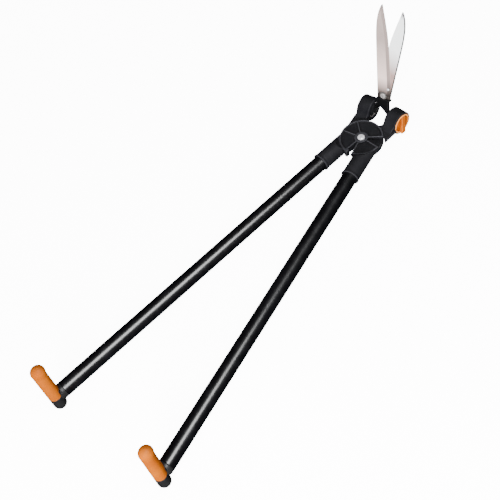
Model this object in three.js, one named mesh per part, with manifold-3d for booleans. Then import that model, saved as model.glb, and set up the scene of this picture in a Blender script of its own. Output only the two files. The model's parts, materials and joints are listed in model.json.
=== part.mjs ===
// Long-handled garden shears with a tilting cutting head, in millimetres, +Z up.
// They lie on the floor, half open: grips behind, blades in front, all four grip and ring undersides touching.

import * as THREE from 'three';
import { mergeVertices } from 'three/addons/utils/BufferGeometryUtils.js';
import Module from 'manifold-3d';

const wasm = await Module();
wasm.setup();

const DEGREE = Math.PI / 180;
const TURN = 2 * Math.PI;
const LEFT = -1;
const RIGHT = 1;

// Clearances and the cutters' overrun
const gap = 0.3;
const runningGap = 0.35;
const overrun = 2;

// The kite of the linkage: main pivot, two ring centres and the blade bolt
const linkage = {
  armReach: 76.8,
  tangReach: 55.4,
  ringSwing: 17.3 * DEGREE,
  closedHalfAngle: 3.75 * DEGREE,
  restHalfAngle: 8.165 * DEGREE,
  headTilt: 73 * DEGREE,
  openTravel: 18 * DEGREE,
};

const tube = { radius: 15, wall: 1.5, offset: 21.8, start: 50, end: 726 };

// Sleeve on the tube; it starts inside the disc and reaches its full height over a cone outside the rim
const sleeve = { wall: 1.8, start: 12, end: 89, cone: 9.1, lip: 1, lipLength: 4 };

const disc = {
  radius: 42,
  rimWidth: 3,
  webTop: 5.2,
  height: 8,
  ribWidth: 2.4,
  layerGap: 0.8,
  hubRadius: 13,
  hubClearance: 1.2,
  stopRoom: 0.97 * DEGREE,
  handleFrom: 191.7 * DEGREE,
  handleTo: 269.2 * DEGREE,
  ribAngles: [144.2 * DEGREE],
  lugFrom: 176.1 * DEGREE,
  lugWidth: 10,
  lugDepth: 3,
};

// Stop tab between the handles, on the front casting alone, and the buffer that it meets
const tab = { inset: 6, stand: 2.5, end: 274.8 * DEGREE };
const buffer = { thick: 1.6, width: 7, height: 7, inset: 4 };

const ring = { radius: 23.25, length: 28, lift: 4, edge: 1.6, seat: 20.4, mouthBevel: 1.4 };

// Flat web from the disc to the ring: its corners on the disc's side are shares of the disc's radius, and those
// on the ring's side lie back by shares of the room between the disc and the ring's centre
const web = {
  top: 6,
  flare: 3.7,
  flareShare: 0.603,
  cornerShare: 1.1226,
  cornerAngle: 25.5 * DEGREE,
  fromShare: 1.03,
  fromAngle: 38.5 * DEGREE,
  toShare: 0.99,
  toAngle: 81.8 * DEGREE,
  innerShare: 0.661,
};
const neck = { rise: 9, drop: 12, slopeShare: 0.891 };

const bush = { inner: 11, outer: 4.6, bore: 13, play: 0.3 };
const drum = { inner: 12.6, shoulder: 4, outer: 7, nose: 9, slotEnd: 5.2, pinRadius: 2.2 };

// Plate in the right ring, deep enough for the knob to lie in the ring, and the cap on the left ring
const ringPlate = { thick: 1.2, depth: 3.4, hole: 3.2 };
const ringCap = { thick: 3.5 };

const knob = {
  radius: 19.8,
  thick: 3.3,
  floor: 1.6,
  rimWidth: 2.4,
  edge: 0.7,
  wingLength: 36,
  wingWidth: 8.4,
  wingHeight: 6.4,
  tilt: 17 * DEGREE,
  travel: 1.5,
};

// Side of the knob's wing from its low upper end to the tab at its lower end: shares of its half length and height
const wingShares = [
  [0.98, -0.2],
  [0.9, 0.1],
  [0.45, 0.42],
  [-0.1, 0.62],
  [-0.6, 0.92],
  [-0.95, 1],
  [-1.08, 0.82],
  [-1.08, 0.25],
  [-1, -0.2],
];
const spindle = { radius: 2.8, tip: 8.6, length: 5.8 };
const springWasher = { inner: 8, outer: 12, thick: 0.5 };

const pivot = { shank: 4, head: 7.2, headSeat: 5.9, headTop: 9.4, bushWall: 2, nutRadius: 7.4, shimRadius: 11, shimThick: 1 };

const blade = {
  length: 188,
  halfWidth: 14.6,
  thick: 2.8,
  bevel: 6,
  edge: 0.7,
  shank: 18,
  shankHalfWidth: 7,
  rootDrop: 6.2,
  rootShare: 0.96,
  bevelShare: 0.4,
  rootBevel: 1.5,
};

// Outline of a blade: share of its length, then its back and its cutting edge as shares of its half width
const bladeShares = [
  [0.0, 0.95, 0.98],
  [0.08, 0.95, 1.02],
  [0.16, 0.95, 1.02],
  [0.33, 0.96, 0.96],
  [0.5, 0.97, 0.89],
  [0.62, 0.97, 0.8],
  [0.7, 0.95, 0.69],
  [0.78, 0.88, 0.54],
  [0.85, 0.75, 0.4],
  [0.91, 0.55, 0.26],
  [0.96, 0.33, 0.15],
  [0.99, 0.14, 0.08],
];

const tang = {
  thick: 6.1,
  neckThick: 5,
  neckInset: 0.6,
  neckRoom: 4,
  mouthRoom: 0.9,
  eye: 4.8,
  neckRise: 10,
  neckFall: 4,
  mouthRise: 4,
  elbow: 15,
  waist: 12,
  bend: 7.3,
};

// Outline of a tang's back, from the blade's root to its elbow: shares of the blade's half width and of the drop
// from the blade bolt to the ring's centre line
const tangBackShares = [
  [-1.03, 0.187],
  [-0.72, 0.375],
  [-0.205, 0.572],
  [0.308, 0.708],
];

const bladeBolt = { shank: 4, head: 5.3, headHeight: 2.3, washer: 7.6, washerThick: 1, nutRadius: 6.8, nutThick: 3.8 };

// Small bright stud near the front blade's edge
const stud = { across: 11.4, along: 16.1, shank: 1.4, head: 2.5, height: 1.3 };

const grip = {
  radius: 12.6,
  setback: 18.5,
  bottom: -36,
  top: 103,
  topRadius: 12.8,
  topLean: 0.8,
  post: 8.8,
  padLow: 4,
  padFront: 7,
  padWrap: 19,
  collar: 14.8,
  collarRun: 5,
  spigot: 46,
};

const rivet = { shank: 2.1, head: 4.2, headThick: 1.1, length: 7, sleevePlace: 68, gripPlace: 700 };

// Rounded head of a bolt, stud or rivet: shares of its radius and of its height
const headShares = [
  [1, 0],
  [1, 0.4],
  [0.86, 0.8],
  [0.62, 1],
  [0, 1],
];

const facets = { tube: 24, ring: 28, small: 12, arc: 24, cap: 4 };

const finishes = {
  casting: { color: 0x2b2b2e, roughness: 0.72, metalness: 0 },
  paint: { color: 0x0b0b0d, roughness: 0.28, metalness: 0.35 },
  orange: { color: 0xe8731a, roughness: 0.55, metalness: 0 },
  knobOrange: { color: 0xee7d1c, roughness: 0.38, metalness: 0 },
  plastic: { color: 0x1c1c1e, roughness: 0.6, metalness: 0 },
  blade: { color: 0xc9c4c1, roughness: 0.34, metalness: 0.95 },
  steel: { color: 0xb9babd, roughness: 0.3, metalness: 0.95 },
  bushGrey: { color: 0x8d8b8c, roughness: 0.5, metalness: 0 },
  rubber: { color: 0x18181a, roughness: 0.85, metalness: 0 },
};

// Lengths and angles that follow from the ones above
const sleeveRadius = tube.radius + gap + sleeve.wall;
const closedArm = linkage.ringSwing + linkage.closedHalfAngle;
const restArm = linkage.ringSwing + linkage.restHalfAngle;
const closedTang = Math.asin((linkage.armReach * Math.sin(closedArm)) / linkage.tangReach);
const restTang = Math.asin((linkage.armReach * Math.sin(restArm)) / linkage.tangReach);
const bladeSwing = restTang - closedTang;
const ringSide = linkage.armReach * Math.sin(restArm);
const ringFront = linkage.armReach * Math.cos(restArm);
const headReach = linkage.tangReach * Math.cos(restTang);
const ringHalf = ring.length / 2;
const ringRoom = linkage.armReach - disc.radius;
const knobBase = ringHalf - ringPlate.depth + gap;
const stopEdge = Math.PI - disc.lugFrom + 2 * linkage.restHalfAngle + linkage.openTravel + disc.stopRoom;

// Solids: closed geometries are joined and cut, then go back to a geometry

function facingOut(geometry) {
  const flat = geometry.index ? geometry.toNonIndexed() : geometry;
  const place = flat.getAttribute('position');
  const corner = [new THREE.Vector3(), new THREE.Vector3(), new THREE.Vector3()];
  let volume = 0;
  for (let first = 0; first < place.count; first += 3) {
    corner.forEach((point, step) => point.fromBufferAttribute(place, first + step));
    volume += corner[0].dot(corner[1].clone().cross(corner[2]));
  }
  if (volume < 0) {
    for (let first = 0; first < place.count; first += 3) {
      corner.forEach((point, step) => point.fromBufferAttribute(place, first + step));
      place.setXYZ(first, corner[2].x, corner[2].y, corner[2].z);
      place.setXYZ(first + 2, corner[0].x, corner[0].y, corner[0].z);
    }
  }
  return flat;
}

function solid(geometry) {
  const bare = facingOut(geometry);
  bare.deleteAttribute('normal');
  bare.deleteAttribute('uv');
  const merged = mergeVertices(bare, 1e-4);
  const index = merged.index.array;
  const triangles = [];
  for (let first = 0; first < index.length; first += 3) {
    const [a, b, c] = [index[first], index[first + 1], index[first + 2]];
    if (a !== b && b !== c && c !== a) triangles.push(a, b, c);
  }
  return new wasm.Manifold(new wasm.Mesh({
    numProp: 3,
    vertProperties: new Float32Array(merged.getAttribute('position').array),
    triVerts: new Uint32Array(triangles),
  }));
}

function joined(...geometries) {
  return geometries.map(solid).reduce((sum, next) => sum.add(next));
}

function cut(whole, ...tools) {
  return tools.map(solid).reduce((rest, tool) => rest.subtract(tool), whole);
}

function geometryOf(shape) {
  const { vertProperties, triVerts, numProp } = shape.getMesh();
  const place = new Float32Array((vertProperties.length / numProp) * 3);
  for (let vertex = 0; vertex * numProp < vertProperties.length; vertex += 1) {
    place.set(vertProperties.subarray(vertex * numProp, vertex * numProp + 3), vertex * 3);
  }
  const geometry = new THREE.BufferGeometry();
  geometry.setAttribute('position', new THREE.BufferAttribute(place, 3));
  geometry.setIndex(new THREE.BufferAttribute(new Uint32Array(triVerts), 1));
  geometry.computeVertexNormals();
  return geometry;
}

// Shapes: outlines, plates and turned pieces

function outline(points) {
  return new THREE.Shape(points.map(([x, y]) => new THREE.Vector2(x, y)));
}

function plate(shape, low, high) {
  const geometry = new THREE.ExtrudeGeometry(shape, {
    depth: high - low,
    bevelEnabled: false,
    curveSegments: facets.arc,
  });
  return geometry.translate(0, 0, low);
}

function block(lowX, highX, lowY, highY, lowZ, highZ) {
  const geometry = new THREE.BoxGeometry(highX - lowX, highY - lowY, highZ - lowZ);
  return geometry.translate((lowX + highX) / 2, (lowY + highY) / 2, (lowZ + highZ) / 2);
}

// A profile of [radius, height] pairs turned round the Z axis; it starts and ends on the axis or closes on itself
function turned(profile, sides = facets.small) {
  const points = profile.map(([radius, height]) => new THREE.Vector2(radius, height));
  return new THREE.LatheGeometry(points, sides).rotateX(Math.PI / 2);
}

function rod(radius, low, high, sides = facets.small) {
  return turned([[0, low], [radius, low], [radius, high], [0, high]], sides);
}

function washer(inner, outer, low, high, sides = facets.small) {
  return turned([[inner, low], [outer, low], [outer, high], [inner, high], [inner, low]], sides);
}

// Profile of a rounded head that stands on the given height; a negative rise makes one that points down
function headProfile(radius, low, rise) {
  return headShares.map(([across, up]) => [across * radius, low + up * rise]);
}

// Quarter of a circle from the angle at its first point, for profiles with a round end
function arcPoints(centreHeight, radius, from, to, steps = facets.cap) {
  return Array.from({ length: steps + 1 }, (_, step) => {
    const angle = from + ((to - from) * step) / steps;
    return [radius * Math.cos(angle), centreHeight + radius * Math.sin(angle)];
  });
}

function alongX(geometry) {
  return geometry.rotateY(Math.PI / 2);
}

function alongY(geometry) {
  return geometry.rotateX(-Math.PI / 2);
}

function radialRib(inner, outer, angle, width, low, high) {
  return block(inner, outer, -width / 2, width / 2, low, high).rotateZ(angle);
}

function loft(sections) {
  const count = sections[0].length;
  const points = sections.flat().map((point) => new THREE.Vector3(...point));
  const faces = [];
  for (let row = 0; row + 1 < sections.length; row += 1) {
    for (let column = 0; column < count; column += 1) {
      const [a, b] = [row * count + column, row * count + ((column + 1) % count)];
      faces.push([a, b, b + count], [a, b + count, a + count]);
    }
  }
  const last = (sections.length - 1) * count;
  for (let column = 1; column + 1 < count; column += 1) {
    faces.push([0, column + 1, column], [last, last + column, last + column + 1]);
  }
  return new THREE.BufferGeometry().setFromPoints(faces.flat().map((vertex) => points[vertex]));
}

function mirrored(geometry) {
  return geometry.scale(-1, 1, 1);
}

// Pieces of one handle, drawn for the left one and mirrored for the right

const shears = new THREE.Group();
const frame = new THREE.Group();
shears.add(frame);

function finish(name) {
  return new THREE.MeshStandardMaterial(finishes[name]);
}

function add(group, name, shape, finishName) {
  const mesh = new THREE.Mesh(geometryOf(shape), finish(finishName));
  mesh.name = name;
  group.add(mesh);
  return mesh;
}

function handed(shape, side) {
  return side === LEFT ? shape : solid(mirrored(geometryOf(shape)));
}

// In the ring's own directions: x outwards along its axis, y away from the main pivot, z up
function inRing(geometry) {
  const swing = linkage.ringSwing;
  return geometry
    .rotateZ(linkage.closedHalfAngle)
    .translate(linkage.armReach * Math.sin(swing), linkage.armReach * Math.cos(swing), ring.lift);
}

// A point of the ring's own directions, and one on the disc, both in the handle's plan
function fromRing(across, along) {
  const [cos, sin] = [Math.cos(linkage.closedHalfAngle), Math.sin(linkage.closedHalfAngle)];
  const swing = linkage.ringSwing;
  return [
    linkage.armReach * Math.sin(swing) + across * cos - along * sin,
    linkage.armReach * Math.cos(swing) + across * sin + along * cos,
  ];
}

function onDisc(share, angle) {
  return [share * disc.radius * Math.cos(angle), share * disc.radius * Math.sin(angle)];
}

function layered(geometry, layer) {
  return layer > 0 ? geometry : geometry.scale(1, 1, -1);
}

// Tool as large as needed that keeps or takes away the angles from one ray to another
function wedge(from, to, low, high) {
  const far = 2 * disc.radius;
  const rays = [0, 1, 2, 3].map((step) => from + ((to - from) * step) / 3);
  return plate(outline([[0, 0], ...rays.map((angle) => [far * Math.cos(angle), far * Math.sin(angle)])]), low, high);
}

function edgeRib(angle, low, high) {
  return radialRib(disc.hubRadius + disc.hubClearance, disc.radius - disc.rimWidth / 2, angle, disc.ribWidth, low, high);
}

// The upper or lower half disc with its hub boss, rim and ribs, open where the other casting is full height
function halfDisc(layer) {
  const { radius, rimWidth, layerGap, webTop, height, hubRadius, ribWidth, handleTo } = disc;
  const slant = ribWidth / 2 / radius;
  const web = rod(radius, layerGap, webTop, facets.ring);
  const rim = washer(radius - rimWidth, radius, layerGap, height, facets.ring);
  const hub = rod(hubRadius, layerGap, height, facets.tube);
  const ribs = disc.ribAngles.map((angle) => edgeRib(angle, layerGap, height));
  const edges = [stopEdge + slant, handleTo - slant].map((angle) => edgeRib(angle, layerGap, height));
  const open = wedge(handleTo - TURN, stopEdge, 0, height + overrun);
  const kept = cut(joined(web, rim, ...ribs), open);
  return solid(layered(geometryOf(kept.add(joined(hub, ...edges))), layer));
}

// The full-height part of the disc that runs into the sleeve, and the lug that stops the opening
function handleSector(layer) {
  const { radius, rimWidth, layerGap, webTop, height, ribWidth, handleFrom, handleTo } = disc;
  const slant = ribWidth / 2 / radius;
  const zone = solid(wedge(handleFrom, handleTo, -height, height));
  const lugZone = solid(layered(wedge(disc.lugFrom, handleFrom + slant, -height, layerGap + overrun / 2), layer));
  const body = joined(rod(radius, -webTop, webTop, facets.ring));
  const rim = solid(washer(radius - rimWidth, radius, -height, height, facets.ring));
  const lug = solid(washer(radius - disc.lugWidth, radius, -disc.lugDepth, disc.lugDepth, facets.ring)).intersect(lugZone);
  const edges = [handleFrom + slant, handleTo - slant].map((angle) => edgeRib(angle, -height, height));
  const clearHub = rod(disc.hubRadius + disc.hubClearance, -2 * height, 2 * height, facets.tube);
  return cut(body.add(rim).intersect(zone).add(joined(...edges)), clearHub).add(lug);
}

// Round sleeve, kept under a cone that climbs from the disc's rim to the sleeve's full height
function sleeveBody() {
  const { start, end, lip, lipLength, cone } = sleeve;
  const lipStart = end - lipLength;
  const profile = [
    [0, start],
    [sleeveRadius, start],
    [sleeveRadius, lipStart],
    [sleeveRadius + lip, lipStart + lip],
    [sleeveRadius + lip, end - lip / 2],
    [sleeveRadius + lip / 2, end],
    [0, end],
  ];
  const straight = turned(profile.map(([radius, place]) => [radius, -place]), facets.tube);
  const tallest = sleeveRadius + lip + overrun;
  const keptUnder = turned([
    [disc.radius - disc.rimWidth, -disc.height],
    [disc.radius, -disc.height],
    [disc.radius + cone, -sleeveRadius],
    [disc.radius + cone, -tallest],
    [2 * end, -tallest],
    [2 * end, tallest],
    [disc.radius + cone, tallest],
    [disc.radius + cone, sleeveRadius],
    [disc.radius, disc.height],
    [disc.radius - disc.rimWidth, disc.height],
    [disc.radius - disc.rimWidth, -disc.height],
  ], 2 * facets.ring);
  return solid(alongY(straight).translate(-tube.offset, 0, 0)).intersect(solid(keptUnder));
}

function layerLimits(layer) {
  return layer > 0 ? [disc.layerGap, web.top] : [-web.top, -disc.layerGap];
}

function webPlate(layer) {
  const points = [
    fromRing(ringHalf, 0),
    fromRing(ringHalf + web.flare, -web.flareShare * ringRoom),
    onDisc(web.cornerShare, web.cornerAngle),
    onDisc(web.fromShare, web.fromAngle),
    onDisc(web.toShare, web.toAngle),
    fromRing(-ringHalf, -web.innerShare * ringRoom),
    fromRing(-ringHalf, 0),
  ];
  return plate(outline(points), ...layerLimits(layer));
}

// Solid neck under the barrel, nearly as wide as the ring, in a side view of [away from pivot, height]
function ringNeck(layer) {
  const { rise, drop, slopeShare } = neck;
  const [low, high] = layerLimits(layer).map((height) => height - ring.lift);
  const points = [
    [-ringRoom, low],
    [-ringRoom, high],
    [-Math.sqrt(ring.radius ** 2 - rise ** 2), rise],
    [0, rise],
    [0, -drop],
    [-Math.sqrt(ring.radius ** 2 - drop ** 2), -drop],
    [-slopeShare * ringRoom, low],
  ];
  const side = plate(outline(points), -ringHalf + ring.edge, ringHalf - ring.edge);
  return inRing(side.rotateX(Math.PI / 2).rotateZ(Math.PI / 2));
}

function barrel() {
  const { radius, edge } = ring;
  const profile = [
    [0, -ringHalf],
    [radius - edge, -ringHalf],
    [radius, -ringHalf + edge],
    [radius, ringHalf - edge],
    [radius - edge, ringHalf],
    [0, ringHalf],
  ];
  return inRing(alongX(turned(profile, facets.ring)));
}

// Ball-shaped seat, open straight through on the outer side and by a bevelled mouth on the inner side
function ringHollow() {
  const mouth = Math.sqrt(ring.seat ** 2 - ringHalf ** 2) + ring.mouthBevel;
  const from = Math.asin(-ringHalf / ring.seat);
  const profile = [
    [0, -ringHalf - overrun],
    [mouth, -ringHalf - overrun],
    [mouth, -ringHalf],
    ...arcPoints(0, ring.seat, from + ring.mouthBevel / ring.seat, 0),
    [ring.seat, ringHalf + overrun],
    [0, ringHalf + overrun],
  ];
  return inRing(alongX(turned(profile, facets.ring)));
}

function arm(side) {
  const layer = side === LEFT ? 1 : -1;
  const { height, layerGap, hubRadius, hubClearance } = disc;
  const otherDisc = layered(rod(disc.radius + 2 * gap, -2 * height, 0, facets.ring), layer);
  const otherHub = layered(rod(hubRadius + hubClearance, -2 * height, 0, facets.tube), layer);
  const toRing = cut(joined(webPlate(layer), ringNeck(layer), barrel()), otherDisc);
  const toHandle = cut(sleeveBody().add(handleSector(layer)), otherHub);
  let shape = halfDisc(layer).add(toHandle).add(toRing);
  if (side === LEFT) shape = shape.add(stopTab());
  const recess = layered(rod(pivot.nutRadius + gap, pivot.headSeat, height + overrun, facets.tube), layer);
  const boreRadius = side === LEFT ? pivot.shank + pivot.bushWall + gap : pivot.shank + gap;
  const bore = rod(boreRadius, -height, height, facets.tube);
  const shim = rod(pivot.shimRadius + gap, -layerGap - gap, layerGap + gap, facets.tube);
  const tubeBore = alongY(rod(tube.radius + gap, -sleeve.end - overrun, -tube.start, facets.tube))
    .translate(-tube.offset, 0, 0);
  shape = cut(shape, recess, bore, shim, tubeBore, ringHollow(), rivetHole(sleeve.end, rivet.sleevePlace));
  return handed(shape, side);
}

function stopTab() {
  const slant = disc.ribWidth / 2 / disc.radius;
  const band = solid(washer(disc.radius - tab.inset, disc.radius + tab.stand, -disc.height, disc.height, facets.ring));
  return band.intersect(solid(wedge(disc.handleTo - 2 * slant, tab.end, -disc.height, disc.height)));
}

function rivetHole(far, place) {
  return rod(rivet.shank + gap / 2, -far, 0).translate(-tube.offset, -place, 0);
}

// Blind rivet from below, its head on the given surface
function rivetAt(surface, place) {
  const { shank, head, headThick, length } = rivet;
  const seat = -surface - gap / 2;
  const profile = [
    ...headProfile(head, seat, -headThick).reverse(),
    [shank, seat],
    [shank, seat + length],
    [0, seat + length],
  ];
  return turned(profile).translate(-tube.offset, -place, 0);
}

function tubeShape() {
  const { radius, wall, start, end } = tube;
  return cut(
    solid(alongY(washer(radius - wall, radius, -end, -start - gap, facets.tube)).translate(-tube.offset, 0, 0)),
    rivetHole(sleeve.end, rivet.sleevePlace),
    rivetHole(sleeve.end, rivet.gripPlace),
  );
}

// The grip's upright bar, and the zone of it that the soft pad takes

function gripPlace(geometry) {
  return geometry.translate(-tube.offset, -tube.end - grip.setback, 0);
}

function gripBar() {
  const { radius, bottom, top, topRadius, topLean } = grip;
  const lower = bottom + radius;
  const upper = top - topRadius;
  const shank = turned([
    ...arcPoints(lower, radius, -Math.PI / 2, 0),
    [radius, upper - topRadius],
    [radius, upper],
    [0, upper],
  ], facets.tube);
  const crown = turned(arcPoints(upper, topRadius, -Math.PI / 2, Math.PI / 2, 2 * facets.cap), facets.tube)
    .scale(1, 1 + topLean / topRadius, 1)
    .translate(0, topLean, 0);
  return joined(gripPlace(shank), gripPlace(crown));
}

// The pad goes round the back and sides of the bar, and round the whole bar above the wrap
function padZone(clearance) {
  const { topRadius, padLow, padFront, padWrap, top } = grip;
  const wide = topRadius + overrun;
  const high = top + overrun;
  const back = block(-wide, wide, -wide, padFront + clearance, padLow - clearance, high);
  const wrap = block(-wide, wide, -wide, wide + overrun, padWrap - clearance, high);
  return joined(gripPlace(back), gripPlace(wrap));
}

function gripPad() {
  const { post, top, topRadius } = grip;
  return cut(gripBar().intersect(padZone(0)), gripPlace(rod(post + gap, -top, top - topRadius + gap, facets.tube)));
}

// Core with its post inside the pad, its collar round the tube's end and its plug inside the tube
function gripCore() {
  const { radius, post, collar, collarRun, spigot, top, topRadius, setback, bottom, padFront } = grip;
  const bar = gripBar().subtract(padZone(gap));
  const inside = gripPlace(rod(post, bottom + radius, top - topRadius, facets.tube));
  const from = -tube.end - setback + padFront + gap;
  const plugRadius = tube.radius - tube.wall - gap;
  const collarAndPlug = alongY(turned([
    [0, from],
    [radius, from],
    [collar, from + collarRun],
    [collar, -tube.end - gap],
    [plugRadius, -tube.end - gap],
    [plugRadius, -tube.end + spigot],
    [0, -tube.end + spigot],
  ], facets.tube)).translate(-tube.offset, 0, 0);
  const body = bar.add(joined(inside, collarAndPlug));
  return cut(body, rivetHole(sleeve.end, rivet.gripPlace));
}

// Round plate that lies in a ring, with or without a hole
function ringDisc(low, high, hole) {
  const radius = ring.seat - gap;
  const edge = gap;
  const profile = [
    [hole, low],
    [radius, low],
    [radius, high - edge],
    [radius - edge, high],
    [hole, high],
    [hole, low],
  ];
  if (!hole) profile.pop();
  return solid(inRing(alongX(turned(profile, facets.ring))));
}

const handleNames = { [LEFT]: 'left', [RIGHT]: 'right' };

function handle(side) {
  const group = new THREE.Group();
  const word = handleNames[side];
  group.rotation.z = side * linkage.restHalfAngle;
  add(group, `${word}_arm`, arm(side), 'casting');
  add(group, `${word}_tube`, handed(tubeShape(), side), 'paint');
  add(group, `${word}_tube_rivet`, handed(solid(rivetAt(sleeveRadius, rivet.sleevePlace)), side), 'steel');
  add(group, `${word}_grip_core`, handed(gripCore(), side), 'plastic');
  add(group, `${word}_grip_pad`, handed(gripPad(), side), 'orange');
  add(group, `${word}_grip_rivet`, handed(solid(rivetAt(tube.radius, rivet.gripPlace)), side), 'steel');
  frame.add(group);
  return group;
}

// The left casting carries the right ring with the knob, and the right casting the left ring

const leftHandle = handle(LEFT);
const rightHandle = handle(RIGHT);

const plateTop = ringHalf - ringPlate.depth;
add(rightHandle, 'left_ring_cap', handed(ringDisc(ringHalf - ringCap.thick, ringHalf, 0), RIGHT), 'casting');
add(leftHandle, 'right_ring_plate', ringDisc(plateTop - ringPlate.thick, plateTop, ringPlate.hole), 'plastic');

// Main pivot

function pivotBolt() {
  const { shank, head, headSeat, headTop } = pivot;
  const seat = headSeat + gap;
  return solid(turned([
    [0, -disc.height],
    [shank, -disc.height],
    [shank, seat],
    ...headProfile(head, seat, headTop - seat),
  ], facets.tube));
}

function hexNut(radius, hole, low, high) {
  const hex = outline(Array.from({ length: 6 }, (_, corner) => [
    radius * Math.cos((corner * Math.PI) / 3), radius * Math.sin((corner * Math.PI) / 3)]));
  return cut(solid(plate(hex, low, high)), rod(hole, low - overrun, high + overrun));
}

const bushLow = disc.layerGap + gap / 2;
add(frame, 'pivot_bolt', pivotBolt(), 'steel');
add(frame, 'pivot_nut', hexNut(pivot.nutRadius, pivot.shank + gap, -disc.height - gap, -pivot.headSeat - gap), 'steel');
add(leftHandle, 'pivot_bush', solid(washer(
  pivot.shank + gap / 2, pivot.shank + pivot.bushWall, bushLow, pivot.headSeat, facets.tube)), 'steel');
add(rightHandle, 'pivot_shim', solid(washer(
  pivot.shank + gap, pivot.shimRadius, -pivot.shimThick / 2, pivot.shimThick / 2, facets.tube)), 'bushGrey');

// Rubber buffer on the right casting's edge, which the left casting's tab meets when the shears close
function closingBuffer() {
  const { thick, width, height, inset } = buffer;
  const reach = disc.radius - inset;
  const face = disc.ribWidth / 2 + gap;
  const pad = block(reach - width / 2, reach + width / 2, face, face + thick, -height / 2, height / 2);
  return solid(pad.rotateZ(disc.handleTo - disc.ribWidth / 2 / disc.radius));
}
add(rightHandle, 'closing_buffer', handed(closingBuffer(), RIGHT), 'rubber');

// Cutting head: one half is drawn for the right ring, and the other is the same turned half round

const head = new THREE.Group();
head.position.set(0, ringFront, ring.lift);
head.rotation.x = linkage.headTilt;
frame.add(head);

function halfHead(side, x = 0, y = 0) {
  const group = new THREE.Group();
  group.position.set(side * x, y, 0);
  group.rotation.y = side === RIGHT ? 0 : Math.PI;
  head.add(group);
  return group;
}

function bladeSection(place, back, edge, thick, bevel) {
  const low = gap / 2;
  return [
    [-back, place, low],
    [edge, place, low],
    [edge, place, low + blade.edge],
    [edge - bevel, place, low + thick],
    [-back, place, low + thick],
  ];
}

function bladeShape(side) {
  const { length, halfWidth, thick, bevel, shank, shankHalfWidth, rootDrop } = blade;
  const body = bladeShares.map(([place, back, edge]) => {
    const width = (back + edge) * halfWidth;
    const ground = Math.min(bevel, width * blade.bevelShare);
    return bladeSection(place * length, back * halfWidth, edge * halfWidth, thick, ground);
  });
  const rootHalf = halfWidth * blade.rootShare;
  const root = bladeSection(-rootDrop, rootHalf, rootHalf, thick, blade.rootBevel);
  const tip = bladeSection(length, blade.edge / 2, blade.edge, thick / 2, blade.edge / 2);
  const shankPlate = block(-shankHalfWidth, shankHalfWidth, -shank, 0, gap / 2, gap / 2 + thick);
  const holes = [rod(bladeBolt.shank + gap, -overrun, thick + overrun)];
  if (side === RIGHT) holes.push(rod(stud.shank + gap, -overrun, thick + overrun).translate(stud.across, stud.along, 0));
  return cut(joined(loft([root, ...body, tip]), shankPlate), ...holes);
}

// The ring's centre in the blade's own directions
const eyeX = linkage.tangReach * Math.sin(closedTang);
const eyeY = -linkage.tangReach * Math.cos(closedTang);
const mouthX = eyeX - ringHalf - tang.mouthRoom;

function tangOutline() {
  const { neckRise, neckFall, mouthRise, elbow, waist, bend } = tang;
  const { halfWidth, rootDrop } = blade;
  const rootHalf = halfWidth * blade.rootShare;
  const back = tangBackShares.map(([across, down]) => new THREE.Vector2(across * halfWidth, down * eyeY));
  const shape = new THREE.Shape();
  shape.moveTo(rootHalf, -rootDrop);
  shape.lineTo(-rootHalf, -rootDrop);
  shape.splineThru(back);
  shape.lineTo(mouthX, eyeY + mouthRise);
  shape.lineTo(eyeX, eyeY - neckFall);
  shape.lineTo(eyeX, eyeY + neckFall);
  shape.lineTo(eyeX - tang.eye, eyeY + neckRise);
  shape.lineTo(mouthX, eyeY + neckRise);
  shape.lineTo(mouthX, eyeY + neckRise + elbow - gap);
  shape.quadraticCurveTo(waist, -rootDrop - bend, rootHalf, -rootDrop);
  return shape;
}

function tangShape() {
  const { thick, neckThick, neckInset, eye } = tang;
  const low = gap / 2;
  const body = solid(plate(tangOutline(), low, low + thick));
  const neckCut = eyeX - ringHalf - tang.neckRoom;
  const neckEnd = eyeX + eye + overrun;
  const [neckLow, neckHigh] = [eyeY - ring.seat, eyeY + ring.seat];
  const thinned = cut(
    body,
    block(neckCut, neckEnd, neckLow, neckHigh, -overrun, neckInset),
    block(neckCut, neckEnd, neckLow, neckHigh, neckInset + neckThick, thick + overrun),
  );
  const eyeDisc = rod(eye, neckInset, neckInset + neckThick, facets.small * 2).translate(eyeX, eyeY, 0);
  const pocket = block(
    -blade.shankHalfWidth - gap, blade.shankHalfWidth + gap, -blade.shank - gap, 0, -overrun, low + blade.thick + gap);
  const belowBlade = block(-2 * blade.halfWidth, 2 * blade.halfWidth, -blade.rootDrop - gap, overrun, -overrun, 2 * thick);
  const pinHole = rod(drum.pinRadius + runningGap, -overrun, 2 * thick).translate(eyeX, eyeY, 0);
  const boltClear = rod(bladeBolt.washer + gap, low + blade.thick, 2 * thick, facets.tube);
  return cut(thinned.add(solid(eyeDisc)), pocket, belowBlade, pinHole, boltClear);
}

function bushShape() {
  const outer = ring.seat - bush.play;
  const [from, to] = [Math.asin(-bush.inner / outer), Math.asin(bush.outer / outer)];
  const profile = [...arcPoints(0, outer, from, to, 2 * facets.cap)];
  profile.push([bush.bore, bush.outer], [bush.bore, -bush.inner], profile[0]);
  return solid(alongX(turned(profile, facets.ring)));
}

const slotLow = tang.neckInset - runningGap;
const slotHigh = tang.neckInset + tang.neckThick + runningGap;
const drumRadius = bush.bore - bush.play;

function drumShape() {
  const profile = [
    [0, -drum.inner],
    [drumRadius - gap, -drum.inner],
    [drumRadius, -drum.inner + gap],
    [drumRadius, drum.shoulder],
    [drum.nose, drum.outer],
    [0, drum.outer],
  ];
  return cut(
    solid(alongX(turned(profile, facets.tube))),
    block(-drum.inner - overrun, drum.slotEnd, -drumRadius - overrun, drumRadius + overrun, slotLow, slotHigh),
    rod(drum.pinRadius + gap / 2, -drumRadius - overrun, drumRadius + overrun),
  );
}

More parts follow.
